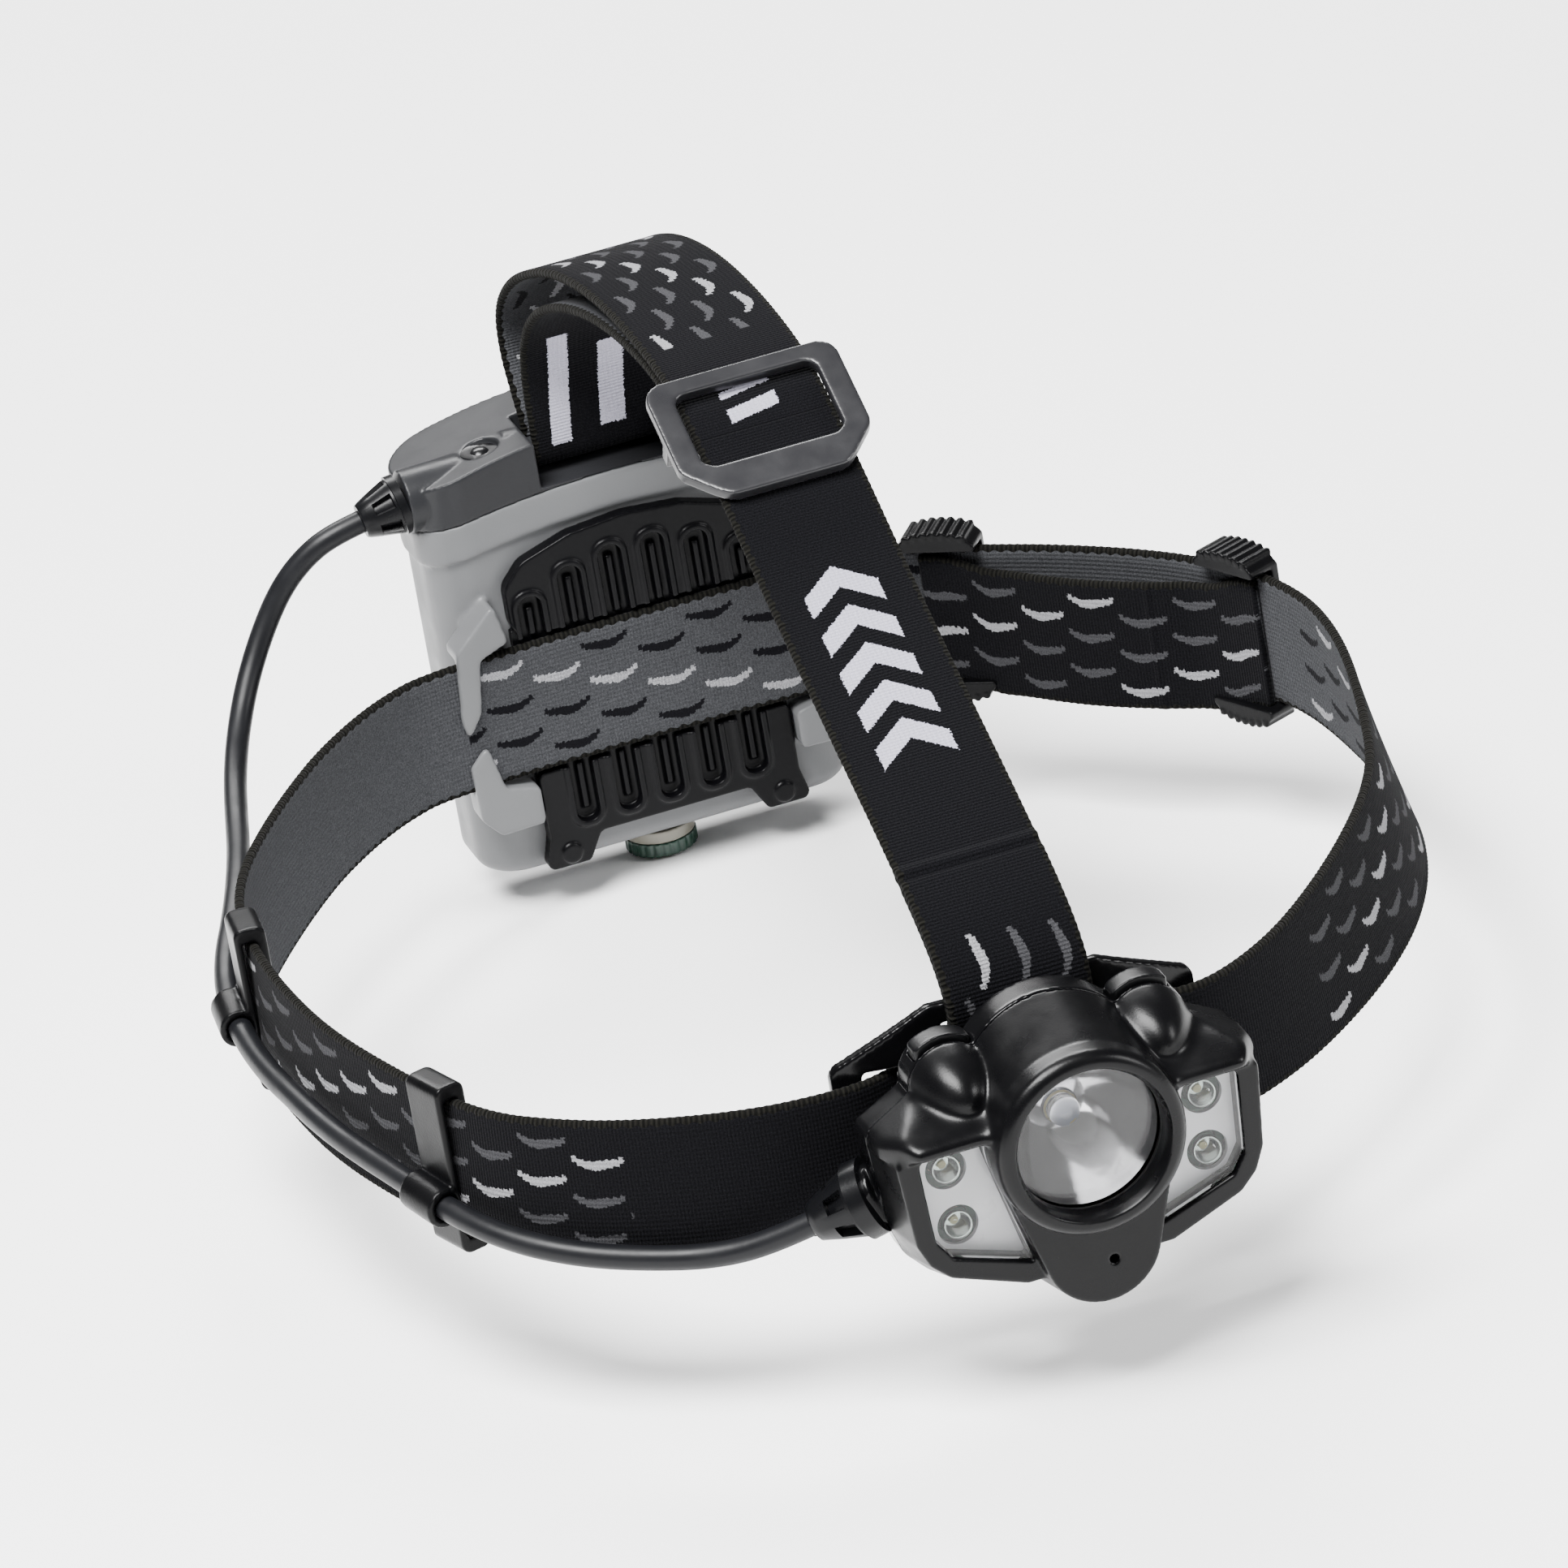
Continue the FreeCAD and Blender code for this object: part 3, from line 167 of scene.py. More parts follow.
def make_studio():
    world = bpy.data.worlds.new("studio")
    world.use_nodes = True
    background = world.node_tree.nodes["Background"]
    background.inputs["Color"].default_value = (1, 1, 1, 1)
    background.inputs["Strength"].default_value = WORLD_STRENGTH
    bpy.context.scene.world = world
    area_light("key", (-0.45, -0.35, 1.2), (0.8, 0.55), 84)
    area_light("fill", (1.1, -0.8, 0.6), (0.35, 0.6), 13)
    area_light("rim", (0.1, 1.0, 0.9), (1.0, 0.3), 28)
    mesh = bpy.data.meshes.new("floor")
    level = CAD_BOX[0][2] - FLOOR_GAP
    corners = [(x * FLOOR_HALF, y * FLOOR_HALF, level) for x, y in ((-1, -1), (1, -1), (1, 1), (-1, 1))]
    mesh.from_pydata(corners, [], [(0, 1, 2, 3)])
    floor = bpy.data.objects.new("floor", mesh)
    bpy.context.scene.collection.objects.link(floor)
    material, shader, _ = new_material("floor_paint")
    shader.inputs["Base Color"].default_value = (0.94, 0.94, 0.94, 1)
    shader.inputs["Roughness"].default_value = 0.95
    mesh.materials.append(material)


# ---- materials -------------------------------------------------------------------------------

def new_material(name):
    material = bpy.data.materials.new(name)
    material.use_nodes = True
    tree = material.node_tree
    shader = tree.nodes["Principled BSDF"]
    return material, shader, tree


def node(tree, kind, **settings):
    made = tree.nodes.new(kind)
    for key, value in settings.items():
        setattr(made, key, value)
    return made


def link(tree, out, into):
    tree.links.new(out, into)


def noise(tree, scale, detail=2.0, where=None):
    texture = node(tree, "ShaderNodeTexNoise")
    texture.inputs["Scale"].default_value = scale
    texture.inputs["Detail"].default_value = detail
    if where is None:
        where = node(tree, "ShaderNodeTexCoord").outputs["Object"]
    link(tree, where, texture.inputs["Vector"])
    return texture.outputs["Fac"]


def ramp(tree, value, low, high, to_low, to_high):
    spread = node(tree, "ShaderNodeMapRange")
    link(tree, value, spread.inputs["Value"])
    for name, number in (("From Min", low), ("From Max", high), ("To Min", to_low), ("To Max", to_high)):
        spread.inputs[name].default_value = number
    return spread.outputs["Result"]


def maths(tree, operation, a, b=None, c=None):
    step = node(tree, "ShaderNodeMath", operation=operation)
    for socket, value in zip(step.inputs, (a, b, c)):
        if value is None:
            continue
        if isinstance(value, (int, float)):
            socket.default_value = value
        else:
            link(tree, value, socket)
    return step.outputs["Value"]


def mix(tree, factor, first, second):
    blend = node(tree, "ShaderNodeMix", data_type="RGBA")
    for name, value in (("Factor", factor), ("A", first), ("B", second)):
        socket = blend.inputs[name]
        if isinstance(value, (tuple, list)):
            socket.default_value = (*value[:3], 1)
        elif isinstance(value, (int, float)):
            socket.default_value = value
        else:
            link(tree, value, socket)
    return blend.outputs["Result"]


def bump(tree, shader, height, strength, distance):
    relief = node(tree, "ShaderNodeBump")
    relief.inputs["Strength"].default_value = strength
    relief.inputs["Distance"].default_value = distance
    link(tree, height, relief.inputs["Height"])
    link(tree, relief.outputs["Normal"], shader.inputs["Normal"])


def shade(colour, factor):
    return tuple(min(1.0, channel * factor) for channel in colour)


def plastic(name, colour, roughness, grain=2600.0, depth=0.05, mottling=0.12, specular=0.5):
    """Moulded plastic with a spark-eroded grain and faint handling marks."""
    material, shader, tree = new_material(name)
    tone = ramp(tree, noise(tree, 45, 4), 0.3, 0.7, 0, 1)
    colours = mix(tree, tone, shade(colour, 1 - mottling), shade(colour, 1 + mottling))
    link(tree, colours, shader.inputs["Base Color"])
    smear = ramp(tree, noise(tree, 170, 5), 0.3, 0.7, roughness - 0.05, roughness + 0.06)
    link(tree, smear, shader.inputs["Roughness"])
    shader.inputs["Specular IOR Level"].default_value = specular
    bump(tree, shader, noise(tree, grain, 2), 0.5, depth * MM)
    return material


def metal(name, colour, roughness, grain=900.0, depth=0.01):
    """Bare or plated metal with faint stains and an uneven polish."""
    material, shader, tree = new_material(name)
    tone = ramp(tree, noise(tree, 120, 4), 0.3, 0.7, 0, 1)
    link(tree, mix(tree, tone, shade(colour, 0.9), shade(colour, 1.08)), shader.inputs["Base Color"])
    polish = ramp(tree, noise(tree, 400, 3), 0.3, 0.7, roughness * 0.8, roughness * 1.3)
    link(tree, polish, shader.inputs["Roughness"])
    shader.inputs["Metallic"].default_value = 1
    bump(tree, shader, noise(tree, grain, 3), 0.4, depth * MM)
    return material


def clear(name, colour, roughness=0.0, ior=1.3):
    """Clear moulding whose polish is slightly uneven."""
    material, shader, tree = new_material(name)
    shader.inputs["Base Color"].default_value = (*colour, 1)
    shader.inputs["Transmission Weight"].default_value = 1
    shader.inputs["IOR"].default_value = ior
    polish = ramp(tree, noise(tree, 300, 3), 0.35, 0.75, roughness, roughness + 0.015)
    link(tree, polish, shader.inputs["Roughness"])
    return material


def board():
    """Green circuit board with pale tracks."""
    material, shader, tree = new_material("board")
    cells = node(tree, "ShaderNodeTexVoronoi")
    cells.distance = "MANHATTAN"
    cells.inputs["Scale"].default_value = 420
    link(tree, node(tree, "ShaderNodeTexCoord").outputs["Object"], cells.inputs["Vector"])
    track = maths(tree, "LESS_THAN", cells.outputs["Distance"], 0.16)
    link(tree, mix(tree, track, (0.015, 0.1, 0.05), (0.5, 0.42, 0.22)), shader.inputs["Base Color"])
    shader.inputs["Roughness"].default_value = 0.35
    return material


# The weave in millimetres: the spacing of the dashes, the chevrons, the ribs and the edge stitches, and how far
# from the middle the sewn edge starts.
DASH_ROW = 3.53
DASH_PITCH = 20.4
DASH_STEP = 1.25
CHEVRON_PITCH = 8.4
RIB_PITCH = 0.62
WARP_PITCH = 0.85
SEWN_PITCH = 0.9
SEWN_FROM = 11.75


def stripe(tree, value, centre, half_width, ragged):
    """1 inside a stripe of the value, 0 outside, with an uneven woven edge."""
    gap = maths(tree, "ABSOLUTE", maths(tree, "SUBTRACT", value, centre))
    return maths(tree, "LESS_THAN", maths(tree, "ADD", gap, ragged), half_width)


def both(tree, first, *others):
    for other in others:
        first = maths(tree, "MULTIPLY", first, other)
    return first


def either(tree, first, *others):
    for other in others:
        first = maths(tree, "MAXIMUM", first, other)
    return first


def chevron_motif(tree, along, across, ragged):
    """A plain column of woven chevrons on the front of the crown strap, and one plain bar further along."""
    slant = maths(tree, "MULTIPLY_ADD", maths(tree, "ABSOLUTE", across), 0.75, along)
    step = maths(tree, "FRACT", maths(tree, "MULTIPLY", slant, 1 / CHEVRON_PITCH))
    bars = stripe(tree, step, 0.5, 0.27, maths(tree, "MULTIPLY", ragged, 0.12))
    inside = both(tree, stripe(tree, across, 0, 6.6, ragged), stripe(tree, slant, 79.8, 20.9, 0))
    lone_bar = both(tree, stripe(tree, across, -0.5, 4.4, ragged), stripe(tree, along, 119.5, 2.1, ragged))
    return either(tree, both(tree, bars, inside), lone_bar)


def window_motif(tree, along, across, ragged):
    """Two plain slanted bars where the strap shows through the buckle."""
    slant = maths(tree, "MULTIPLY_ADD", across, 0.18, along)
    bars = either(tree, stripe(tree, slant, 4.2, 1.5, ragged), stripe(tree, slant, 9.0, 0.8, ragged))
    return both(tree, stripe(tree, across, 0.5, 4.6, ragged), bars)


def return_motif(tree, along, across, ragged):
    """Two plain lengthwise bars on the end of the crown strap that comes back from the pack."""
    wave = maths(tree, "SINE", maths(tree, "MULTIPLY", along, 0.16))
    wander = maths(tree, "MULTIPLY_ADD", wave, 0.7, across)
    first = both(tree, stripe(tree, wander, -6.5, 1.9, ragged), stripe(tree, along, 24, 12.5, ragged))
    second = both(tree, stripe(tree, wander, 3.5, 2.4, ragged), stripe(tree, along, 22, 9.0, ragged))
    return either(tree, first, second)


def dashes(tree, along, across, printed, ragged):
    """Staggered rows of short curved dashes: 1 on a dash, and 1 where that dash is a bright one."""
    row = maths(tree, "MULTIPLY_ADD", across, 1 / DASH_ROW, 13.0)
    row_number = maths(tree, "FLOOR", row)
    stagger = maths(tree, "MULTIPLY", maths(tree, "MODULO", row_number, 2.0), 0.5)
    column = maths(tree, "MULTIPLY_ADD", along, 1 / DASH_PITCH, 40.0)
    column = maths(tree, "ADD", maths(tree, "MULTIPLY_ADD", row_number, -0.02, column), stagger)
    column_number = maths(tree, "FLOOR", column)
    u = maths(tree, "MULTIPLY", maths(tree, "SUBTRACT", maths(tree, "FRACT", column), 0.5), DASH_PITCH)
    w = maths(tree, "MULTIPLY", maths(tree, "SUBTRACT", maths(tree, "FRACT", row), 0.5), DASH_ROW)
    thread_number = maths(tree, "FLOOR", maths(tree, "MULTIPLY", u, 1 / DASH_STEP))
    stepped = maths(tree, "MULTIPLY_ADD", thread_number, DASH_STEP, 0.62)
    arch = maths(tree, "MULTIPLY_ADD", maths(tree, "MULTIPLY", stepped, stepped), 0.055, -0.55)
    arch = maths(tree, "ADD", arch, maths(tree, "MULTIPLY", maths(tree, "SINE", u), 0.14))
    gap = maths(tree, "ABSOLUTE", maths(tree, "SUBTRACT", w, arch))
    reach = maths(tree, "MULTIPLY_ADD", maths(tree, "ABSOLUTE", u), -0.085, 0.9)
    mark = maths(tree, "LESS_THAN", maths(tree, "MULTIPLY_ADD", ragged, 0.75, gap), reach)
    inside = stripe(tree, across, 0, 3 * DASH_ROW, 0)
    mark = both(tree, mark, stripe(tree, u, 0, 4.5, ragged), inside, printed)
    drift = maths(tree, "ADD", maths(tree, "SUBTRACT", row_number, maths(tree, "MULTIPLY", column_number, 2)),
                  maths(tree, "MULTIPLY", stagger, 2))
    bright = maths(tree, "LESS_THAN", maths(tree, "MODULO", maths(tree, "ADD", drift, 600.0), 6.0), 0.5)
    return mark, bright


def webbing(name, motif=None):
    """Jacquard elastic: fine ribs, a fuzzy surface, sewn edges, and staggered rows of short curved dashes.
    One face is black and the other is grey, and the "weave" attribute holds distances in millimetres."""
    material, shader, tree = new_material(name)
    place = node(tree, "ShaderNodeAttribute", attribute_name="weave")
    split = node(tree, "ShaderNodeSeparateXYZ")
    link(tree, place.outputs["Vector"], split.inputs["Vector"])
    along, across, side = split.outputs
    printed = node(tree, "ShaderNodeAttribute", attribute_name="printed").outputs["Fac"]
    ragged = maths(tree, "MULTIPLY_ADD", noise(tree, 2.6, 3, place.outputs["Vector"]), 1.3, -0.65)

    mark, bright = dashes(tree, along, across, printed, ragged)
    fuzz = ramp(tree, noise(tree, 4.6, 5, place.outputs["Vector"]), 0.36, 0.7, 0, 1)
    face_colour = mix(tree, fuzz, (0.0006, 0.0006, 0.0009), (0.0062, 0.0062, 0.0076))
    back_colour = mix(tree, fuzz, (0.022, 0.0227, 0.0248), (0.047, 0.048, 0.052))
    dash = mix(tree, fuzz, (0.022, 0.022, 0.024), (0.046, 0.046, 0.05))
    light = mix(tree, fuzz, (0.14, 0.14, 0.15), (0.27, 0.27, 0.28))
    face_colour = mix(tree, mark, face_colour, mix(tree, bright, dash, light))
    back_colour = mix(tree, mark, back_colour, mix(tree, bright, (0.003, 0.003, 0.004), light))
    if motif:
        white = mix(tree, fuzz, (0.27, 0.265, 0.32), (0.4, 0.39, 0.46))
        face_colour = mix(tree, motif(tree, along, across, ragged), face_colour, white)
    colour = mix(tree, maths(tree, "GREATER_THAN", side, 0.5), face_colour, back_colour)
    scallop = maths(tree, "MULTIPLY", maths(tree, "SINE", maths(tree, "MULTIPLY", along, 2.6)), 0.22)
    margin = maths(tree, "ADD", maths(tree, "ABSOLUTE", across), scallop)
    edge = maths(tree, "GREATER_THAN", margin, SEWN_FROM)
    thread = maths(tree, "SINE", maths(tree, "MULTIPLY", along, 2 * math.pi / SEWN_PITCH))
    sewn = mix(tree, ramp(tree, thread, -1, 1, 0, 1), (0.002, 0.002, 0.0018), (0.0075, 0.0072, 0.006))
    colour = mix(tree, edge, colour, sewn)
    link(tree, colour, shader.inputs["Base Color"])
    shader.inputs["Roughness"].default_value = 0.95
    shader.inputs["Specular IOR Level"].default_value = 0.04
    shader.inputs["Sheen Weight"].default_value = 0.012
    shader.inputs["Sheen Roughness"].default_value = 0.5

    rib = maths(tree, "SINE", maths(tree, "MULTIPLY", along, 2 * math.pi / RIB_PITCH))
    warp = maths(tree, "SINE", maths(tree, "MULTIPLY", across, 2 * math.pi / WARP_PITCH))
    weave = maths(tree, "MULTIPLY_ADD", rib, 0.4, maths(tree, "MULTIPLY", warp, 0.3))
    weave = maths(tree, "ADD", weave, noise(tree, 4.5, 4, place.outputs["Vector"]))
    weave = maths(tree, "ADD", weave, maths(tree, "MULTIPLY", maths(tree, "MULTIPLY", edge, thread), 0.9))
    bump(tree, shader, weave, 0.8, 0.17 * MM)
    return material


# ---- mesh helpers ----------------------------------------------------------------------------

def add_object(name, mesh, material, body, replaced=()):
    made = bpy.data.objects.new(name, mesh)
    bpy.context.scene.collection.objects.link(made)
    mesh.materials.clear()
    mesh.materials.append(material)
    if body:
        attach(made, body)
    if replaced:
        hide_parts(*replaced)
    return made


def apply_modifiers(thing):
    graph = bpy.context.evaluated_depsgraph_get()
    mesh = bpy.data.meshes.new_from_object(thing.evaluated_get(graph))
    old = thing.data
    thing.modifiers.clear()
    thing.data = mesh
    bpy.data.meshes.remove(old)


def smooth(mesh):
    mesh.polygons.foreach_set("use_smooth", [True] * len(mesh.polygons))
    mesh.update()


SOFT_PASSES = 150


def moulded(name, material, voxel, passes, soft=None, shape=None):
    """A copy of a frame node with the small rounded edges that a moulding has; it replaces the node.
    soft(point) is how much more, 0 to 1, the shape is rounded near a point given in millimetres.
    shape(point) moves a point, in millimetres."""
    mesh = frame["nodes"][name].data.copy()
    piece = bpy.data.objects.new(name + "_moulding", mesh)
    bpy.context.scene.collection.objects.link(piece)
    remesh = piece.modifiers.new("remesh", "REMESH")
    remesh.mode = "VOXEL"
    remesh.voxel_size = voxel * MM
    relax = piece.modifiers.new("relax", "SMOOTH")
    relax.factor = 0.5
    relax.iterations = passes
    apply_modifiers(piece)
    if shape:
        for vertex in piece.data.vertices:
            vertex.co = shape(vertex.co / MM) * MM
    if soft:
        group = piece.vertex_groups.new(name="soft")
        for vertex in piece.data.vertices:
            share = soft(vertex.co / MM)
            if share > 0:
                group.add([vertex.index], share, "REPLACE")
        round_off = piece.modifiers.new("round_off", "SMOOTH")
        round_off.factor = 0.5
        round_off.iterations = SOFT_PASSES
        round_off.vertex_group = "soft"
        apply_modifiers(piece)
        piece.vertex_groups.clear()
    smooth(piece.data)
    piece.data.materials.clear()
    piece.data.materials.append(material)
    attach(piece, NODE_BODY[name])
    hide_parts(name)


def face_outward(mesh):
    fix = bmesh.new()
    fix.from_mesh(mesh)
    bmesh.ops.recalc_face_normals(fix, faces=fix.faces)
    fix.to_mesh(mesh)
    fix.free()


def tube_faces(rows, ring):
    """The side faces between rows of ring points each, and a cap at both ends."""
    faces = []
    for row in range(rows - 1):
        for corner in range(ring):
            a = row * ring + corner
            b = row * ring + (corner + 1) % ring
            faces.append((a, b, b + ring, a + ring))
    faces.append(tuple(range(ring - 1, -1, -1)))
    last = (rows - 1) * ring
    faces.append(tuple(range(last, last + ring)))
    return faces


def spline_points(route, step):
    """Points at even steps along the smooth quadratic curve that a route's points control."""
    points = [Vector(p) for p in route]
    fine = [points[0].copy()]
    for index in range(1, len(points) - 1):
        start = points[0] if index == 1 else (points[index - 1] + points[index]) / 2
        end = points[-1] if index == len(points) - 2 else (points[index] + points[index + 1]) / 2
        for part in range(1, 25):
            t = part / 24
            fine.append(start * (1 - t) ** 2 + points[index] * 2 * t * (1 - t) + end * t**2)
    total = sum((b - a).length for a, b in zip(fine, fine[1:]))
    count = max(8, round(total / step))
    even = [fine[0]]
    walked, target, spacing = 0.0, total / count, total / count
    for a, b in zip(fine, fine[1:]):
        length = (b - a).length
        while walked + length >= target - 1e-9 and len(even) < count:
            even.append(a.lerp(b, (target - walked) / length))
            target += spacing
        walked += length
    even.append(fine[-1])
    return even, total


def ribbon(name, route, width_axis, material, node_name, printed, flip=False, tilt=None, relief=None,
           pattern=(1, 1), sag=None):
    """Webbing along a route given as plane points; its edges are sewn in small scallops.
    Each printed range is (face, from, to): face 0 is black, face 1 is grey, distances in millimetres.
    relief(along) gives how far the black face stands out beyond its usual thickness, tilt(along) leans the
    ribbon, and sag(along, total) lowers it.
    pattern turns the woven pattern end for end or edge for edge with -1."""
    width_axis = Vector(width_axis)
    if width_axis.z:
        flat_route = [(x, y, 0) for x, y in route]
    else:
        flat_route = [(0, y, z) for y, z in route]
    points, total = spline_points(flat_route, 0.4)
    half, thick = WEB_WIDTH / 2, WEB_THICK / 2
    columns = 14
    section = []
    for index in range(columns + 1):
        section.append((-half + 0.5 + (WEB_WIDTH - 1.0) * index / columns, thick, 0))
    section += [(half - 0.1, thick * 0.62, 0), (half, 0, 0), (half - 0.1, -thick * 0.62, 1)]
    for index in range(columns + 1):
        section.append((half - 0.5 - (WEB_WIDTH - 1.0) * index / columns, -thick, 1))
    section += [(-half + 0.1, -thick * 0.62, 1), (-half, 0, 1), (-half + 0.1, thick * 0.62, 0)]
    vertices, weave, threads = [], [], []
    spacing = total / (len(points) - 1)
    for index, point in enumerate(points):
        before = points[max(0, index - 1)]
        after = points[min(len(points) - 1, index + 1)]
        way = (after - before).normalized()
        along = index * spacing
        outward = way.cross(width_axis).normalized()
        if sag:
            point = point - Vector((0, 0, sag(along, total)))
        lean = tilt(along) if tilt else 0.0
        across_axis = (width_axis * math.cos(lean) + outward * math.sin(lean)).normalized()
        normal = way.cross(across_axis).normalized()
        scallop = math.sin(along * 2 * math.pi / 1.5)
        for across, off, side in section:
            edge = max(0.0, (abs(across) - (half - 1.2)) / 1.2)
            stretch = 1 + 0.004 * edge * scallop
            bulge = off * (1 + 0.09 * edge * scallop)
            shown = 1 - side if flip else side
            if relief and shown == 0:
                bulge += math.copysign(relief(along), off)
            vertices.append((point + across_axis * across * stretch + normal * bulge) * MM)
            weave.append((along, across, shown))
            threads.append((along * pattern[0], across * pattern[1], shown))
    mesh = bpy.data.meshes.new(name)
    mesh.from_pydata([tuple(v) for v in vertices], [], tube_faces(len(points), len(section)))
    place = mesh.attributes.new("weave", "FLOAT_VECTOR", "POINT")
    place.data.foreach_set("vector", [number for triple in threads for number in triple])
    ink = mesh.attributes.new("printed", "FLOAT", "POINT")
    ink.data.foreach_set("value", [
        1.0 if any(s == side and low <= along <= high for s, low, high in printed) else 0.0
        for along, across, side in weave
    ])
    face_outward(mesh)
    smooth(mesh)
    return add_object(name, mesh, material, None, (node_name,))


def lead(name, route, material, node_name):
    curve = bpy.data.curves.new(name, "CURVE")
    curve.dimensions = "3D"
    curve.bevel_depth = LEAD_RADIUS * MM
    curve.bevel_resolution = 8
    curve.resolution_u = 16
    curve.use_fill_caps = True
    spline = curve.splines.new("NURBS")
    spline.points.add(len(route) - 1)
    for point, place in zip(spline.points, route):
        point.co = (place[0] * MM, place[1] * MM, place[2] * MM, 1)
    spline.order_u = 3
    spline.use_endpoint_u = True
    drawn = bpy.data.objects.new(name + "_path", curve)
    bpy.context.scene.collection.objects.link(drawn)
    mesh = bpy.data.meshes.new_from_object(drawn.evaluated_get(bpy.context.evaluated_depsgraph_get()))
    bpy.data.objects.remove(drawn)
    smooth(mesh)
    return add_object(name, mesh, material, None, (node_name,))


# ---- the object ------------------------------------------------------------------------------

MATERIALS = {}


# Each plastic is its colour, its roughness and what else sets it apart.
PLASTICS = {
    "bezel_black": ((0.0016, 0.0016, 0.0019), 0.3, dict(grain=2600, depth=0.03, specular=0.15)),
    "rear_shell": ((0.0018, 0.0018, 0.0021), 0.2, dict(grain=400, depth=0.005, specular=0.12)),
    "bracket_black": ((0.0018, 0.0018, 0.0021), 0.2, dict(grain=900, depth=0.01, specular=0.14)),
    "led_chip": ((0.2, 0.23, 0.28), 0.3, dict(grain=900, depth=0.01)),
    "phosphor": ((0.3, 0.26, 0.1), 0.4, dict(grain=900, depth=0.01)),
    # Painted shade: vent_black is near-black so that the shallow vent plug stands in for the shade inside a
    # deep recess.
    "vent_black": ((0.003, 0.003, 0.0035), 0.3, dict(grain=500, depth=0.002, specular=0.3)),
    "switch_black": ((0.012, 0.012, 0.012), 0.4, dict()),
    "panel_white": ((0.6, 0.605, 0.62), 0.3, dict(grain=1200, depth=0.02, mottling=0.04)),
    "gasket_rubber": ((0.006, 0.006, 0.006), 0.6, dict(specular=0.2)),
    "gland_grey": ((0.0026, 0.0027, 0.0032), 0.3, dict(grain=1800, depth=0.02, specular=0.15)),
    "buckle_grey": ((0.011, 0.011, 0.0125), 0.32, dict(depth=0.02, specular=0.45)),
    "slider_black": ((0.0018, 0.0018, 0.0021), 0.34, dict(depth=0.05, specular=0.1)),
    "lead_jacket": ((0.0045, 0.0047, 0.0057), 0.42, dict(grain=700, depth=0.04, specular=0.18)),
    "case_grey": ((0.094, 0.096, 0.099), 0.42, dict(depth=0.04, mottling=0.04, specular=0.3)),
    "cap_grey": ((0.0135, 0.0138, 0.0152), 0.36, dict(depth=0.04, mottling=0.06, specular=0.16)),
    "pad_rubber": ((0.0014, 0.0014, 0.0018), 0.34, dict(grain=1500, depth=0.02, specular=0.1)),
    "cradle_black": ((0.012, 0.012, 0.012), 0.45, dict()),
    "cell_label": ((0.12, 0.13, 0.16), 0.3, dict(grain=500, depth=0.01)),
    "screw_beige": ((0.2, 0.19, 0.155), 0.35, dict(grain=1400, depth=0.03)),
    "ring_green": ((0.008, 0.035, 0.022), 0.3, dict(grain=1000, depth=0.02)),
}
METALS = {
    "reflector_metal": ((0.6, 0.6, 0.61), 0.1, dict(grain=160, depth=0.1)),
    "cup_metal": ((0.3, 0.32, 0.31), 0.2, dict()),
    "heat_sink_metal": ((0.4, 0.4, 0.42), 0.35, dict()),
    "steel": ((0.4, 0.4, 0.42), 0.25, dict()),
    "brass": ((0.6, 0.42, 0.2), 0.3, dict()),
}
CLEARS = {
    "clear_lens": ((1, 1, 1),),
    "led_clear": ((0.84, 0.9, 0.86), 0.01, 1.45),
    "dome_clear": ((0.97, 0.97, 1.0), 0.0, 1.4),
}
MOTIFS = {
    "webbing": None, "webbing_chevrons": chevron_motif,
    "webbing_window": window_motif, "webbing_bars": return_motif,
}


def make_materials():
    for build, looks in ((plastic, PLASTICS), (metal, METALS)):
        for name, (colour, roughness, rest) in looks.items():
            MATERIALS[name] = build(name, colour, roughness, **rest)
    for name, look in CLEARS.items():
        MATERIALS[name] = clear(name, *look)
    for name, motif in MOTIFS.items():
        MATERIALS[name] = webbing(name, motif)
    MATERIALS["board"] = board()
    MATERIALS["webbing_black"] = MATERIALS["webbing"]


def dress_frame():
    for name, thing in frame["nodes"].items():
        thing.data.materials.clear()
        thing.data.materials.append(MATERIALS[NODE_SLOT[name]])


def ease(value, low, high):
    share = min(1.0, max(0.0, (value - low) / (high - low)))
    return share * share * (3 - 2 * share)


def stitched_end(along):
    """The crown strap's end is folded back and sewn down: thicker under the seam, pinched at it."""
    step = 0.75 * (1 - ease(along, 35.2, 36.6))
    pinch = 0.6 * math.exp(-((along - 33.4) / 0.6) ** 2)
    return step - pinch


def band_lean(along):
    """The band's lower edge stands out from the upper one at the sides of the forehead."""
    right = ease(along, 480, 560) * (1 - ease(along, 590, 652))
    left = ease(along, 215, 290) * (1 - ease(along, 350, 425))
    return -0.27 * right - 0.07 * left


def fold_sag(along, total):
    """The fold hangs lower between the two sliders than it does in them."""
    return 1.0 + 2.6 * ease(along, 2, 12) * (1 - ease(along, total - 14, total - 3))


def seam_pinch(place):
    """A sewn seam across the webbing draws its face in a little."""
    return lambda along: -0.35 * math.exp(-((along - place) / 0.5) ** 2)


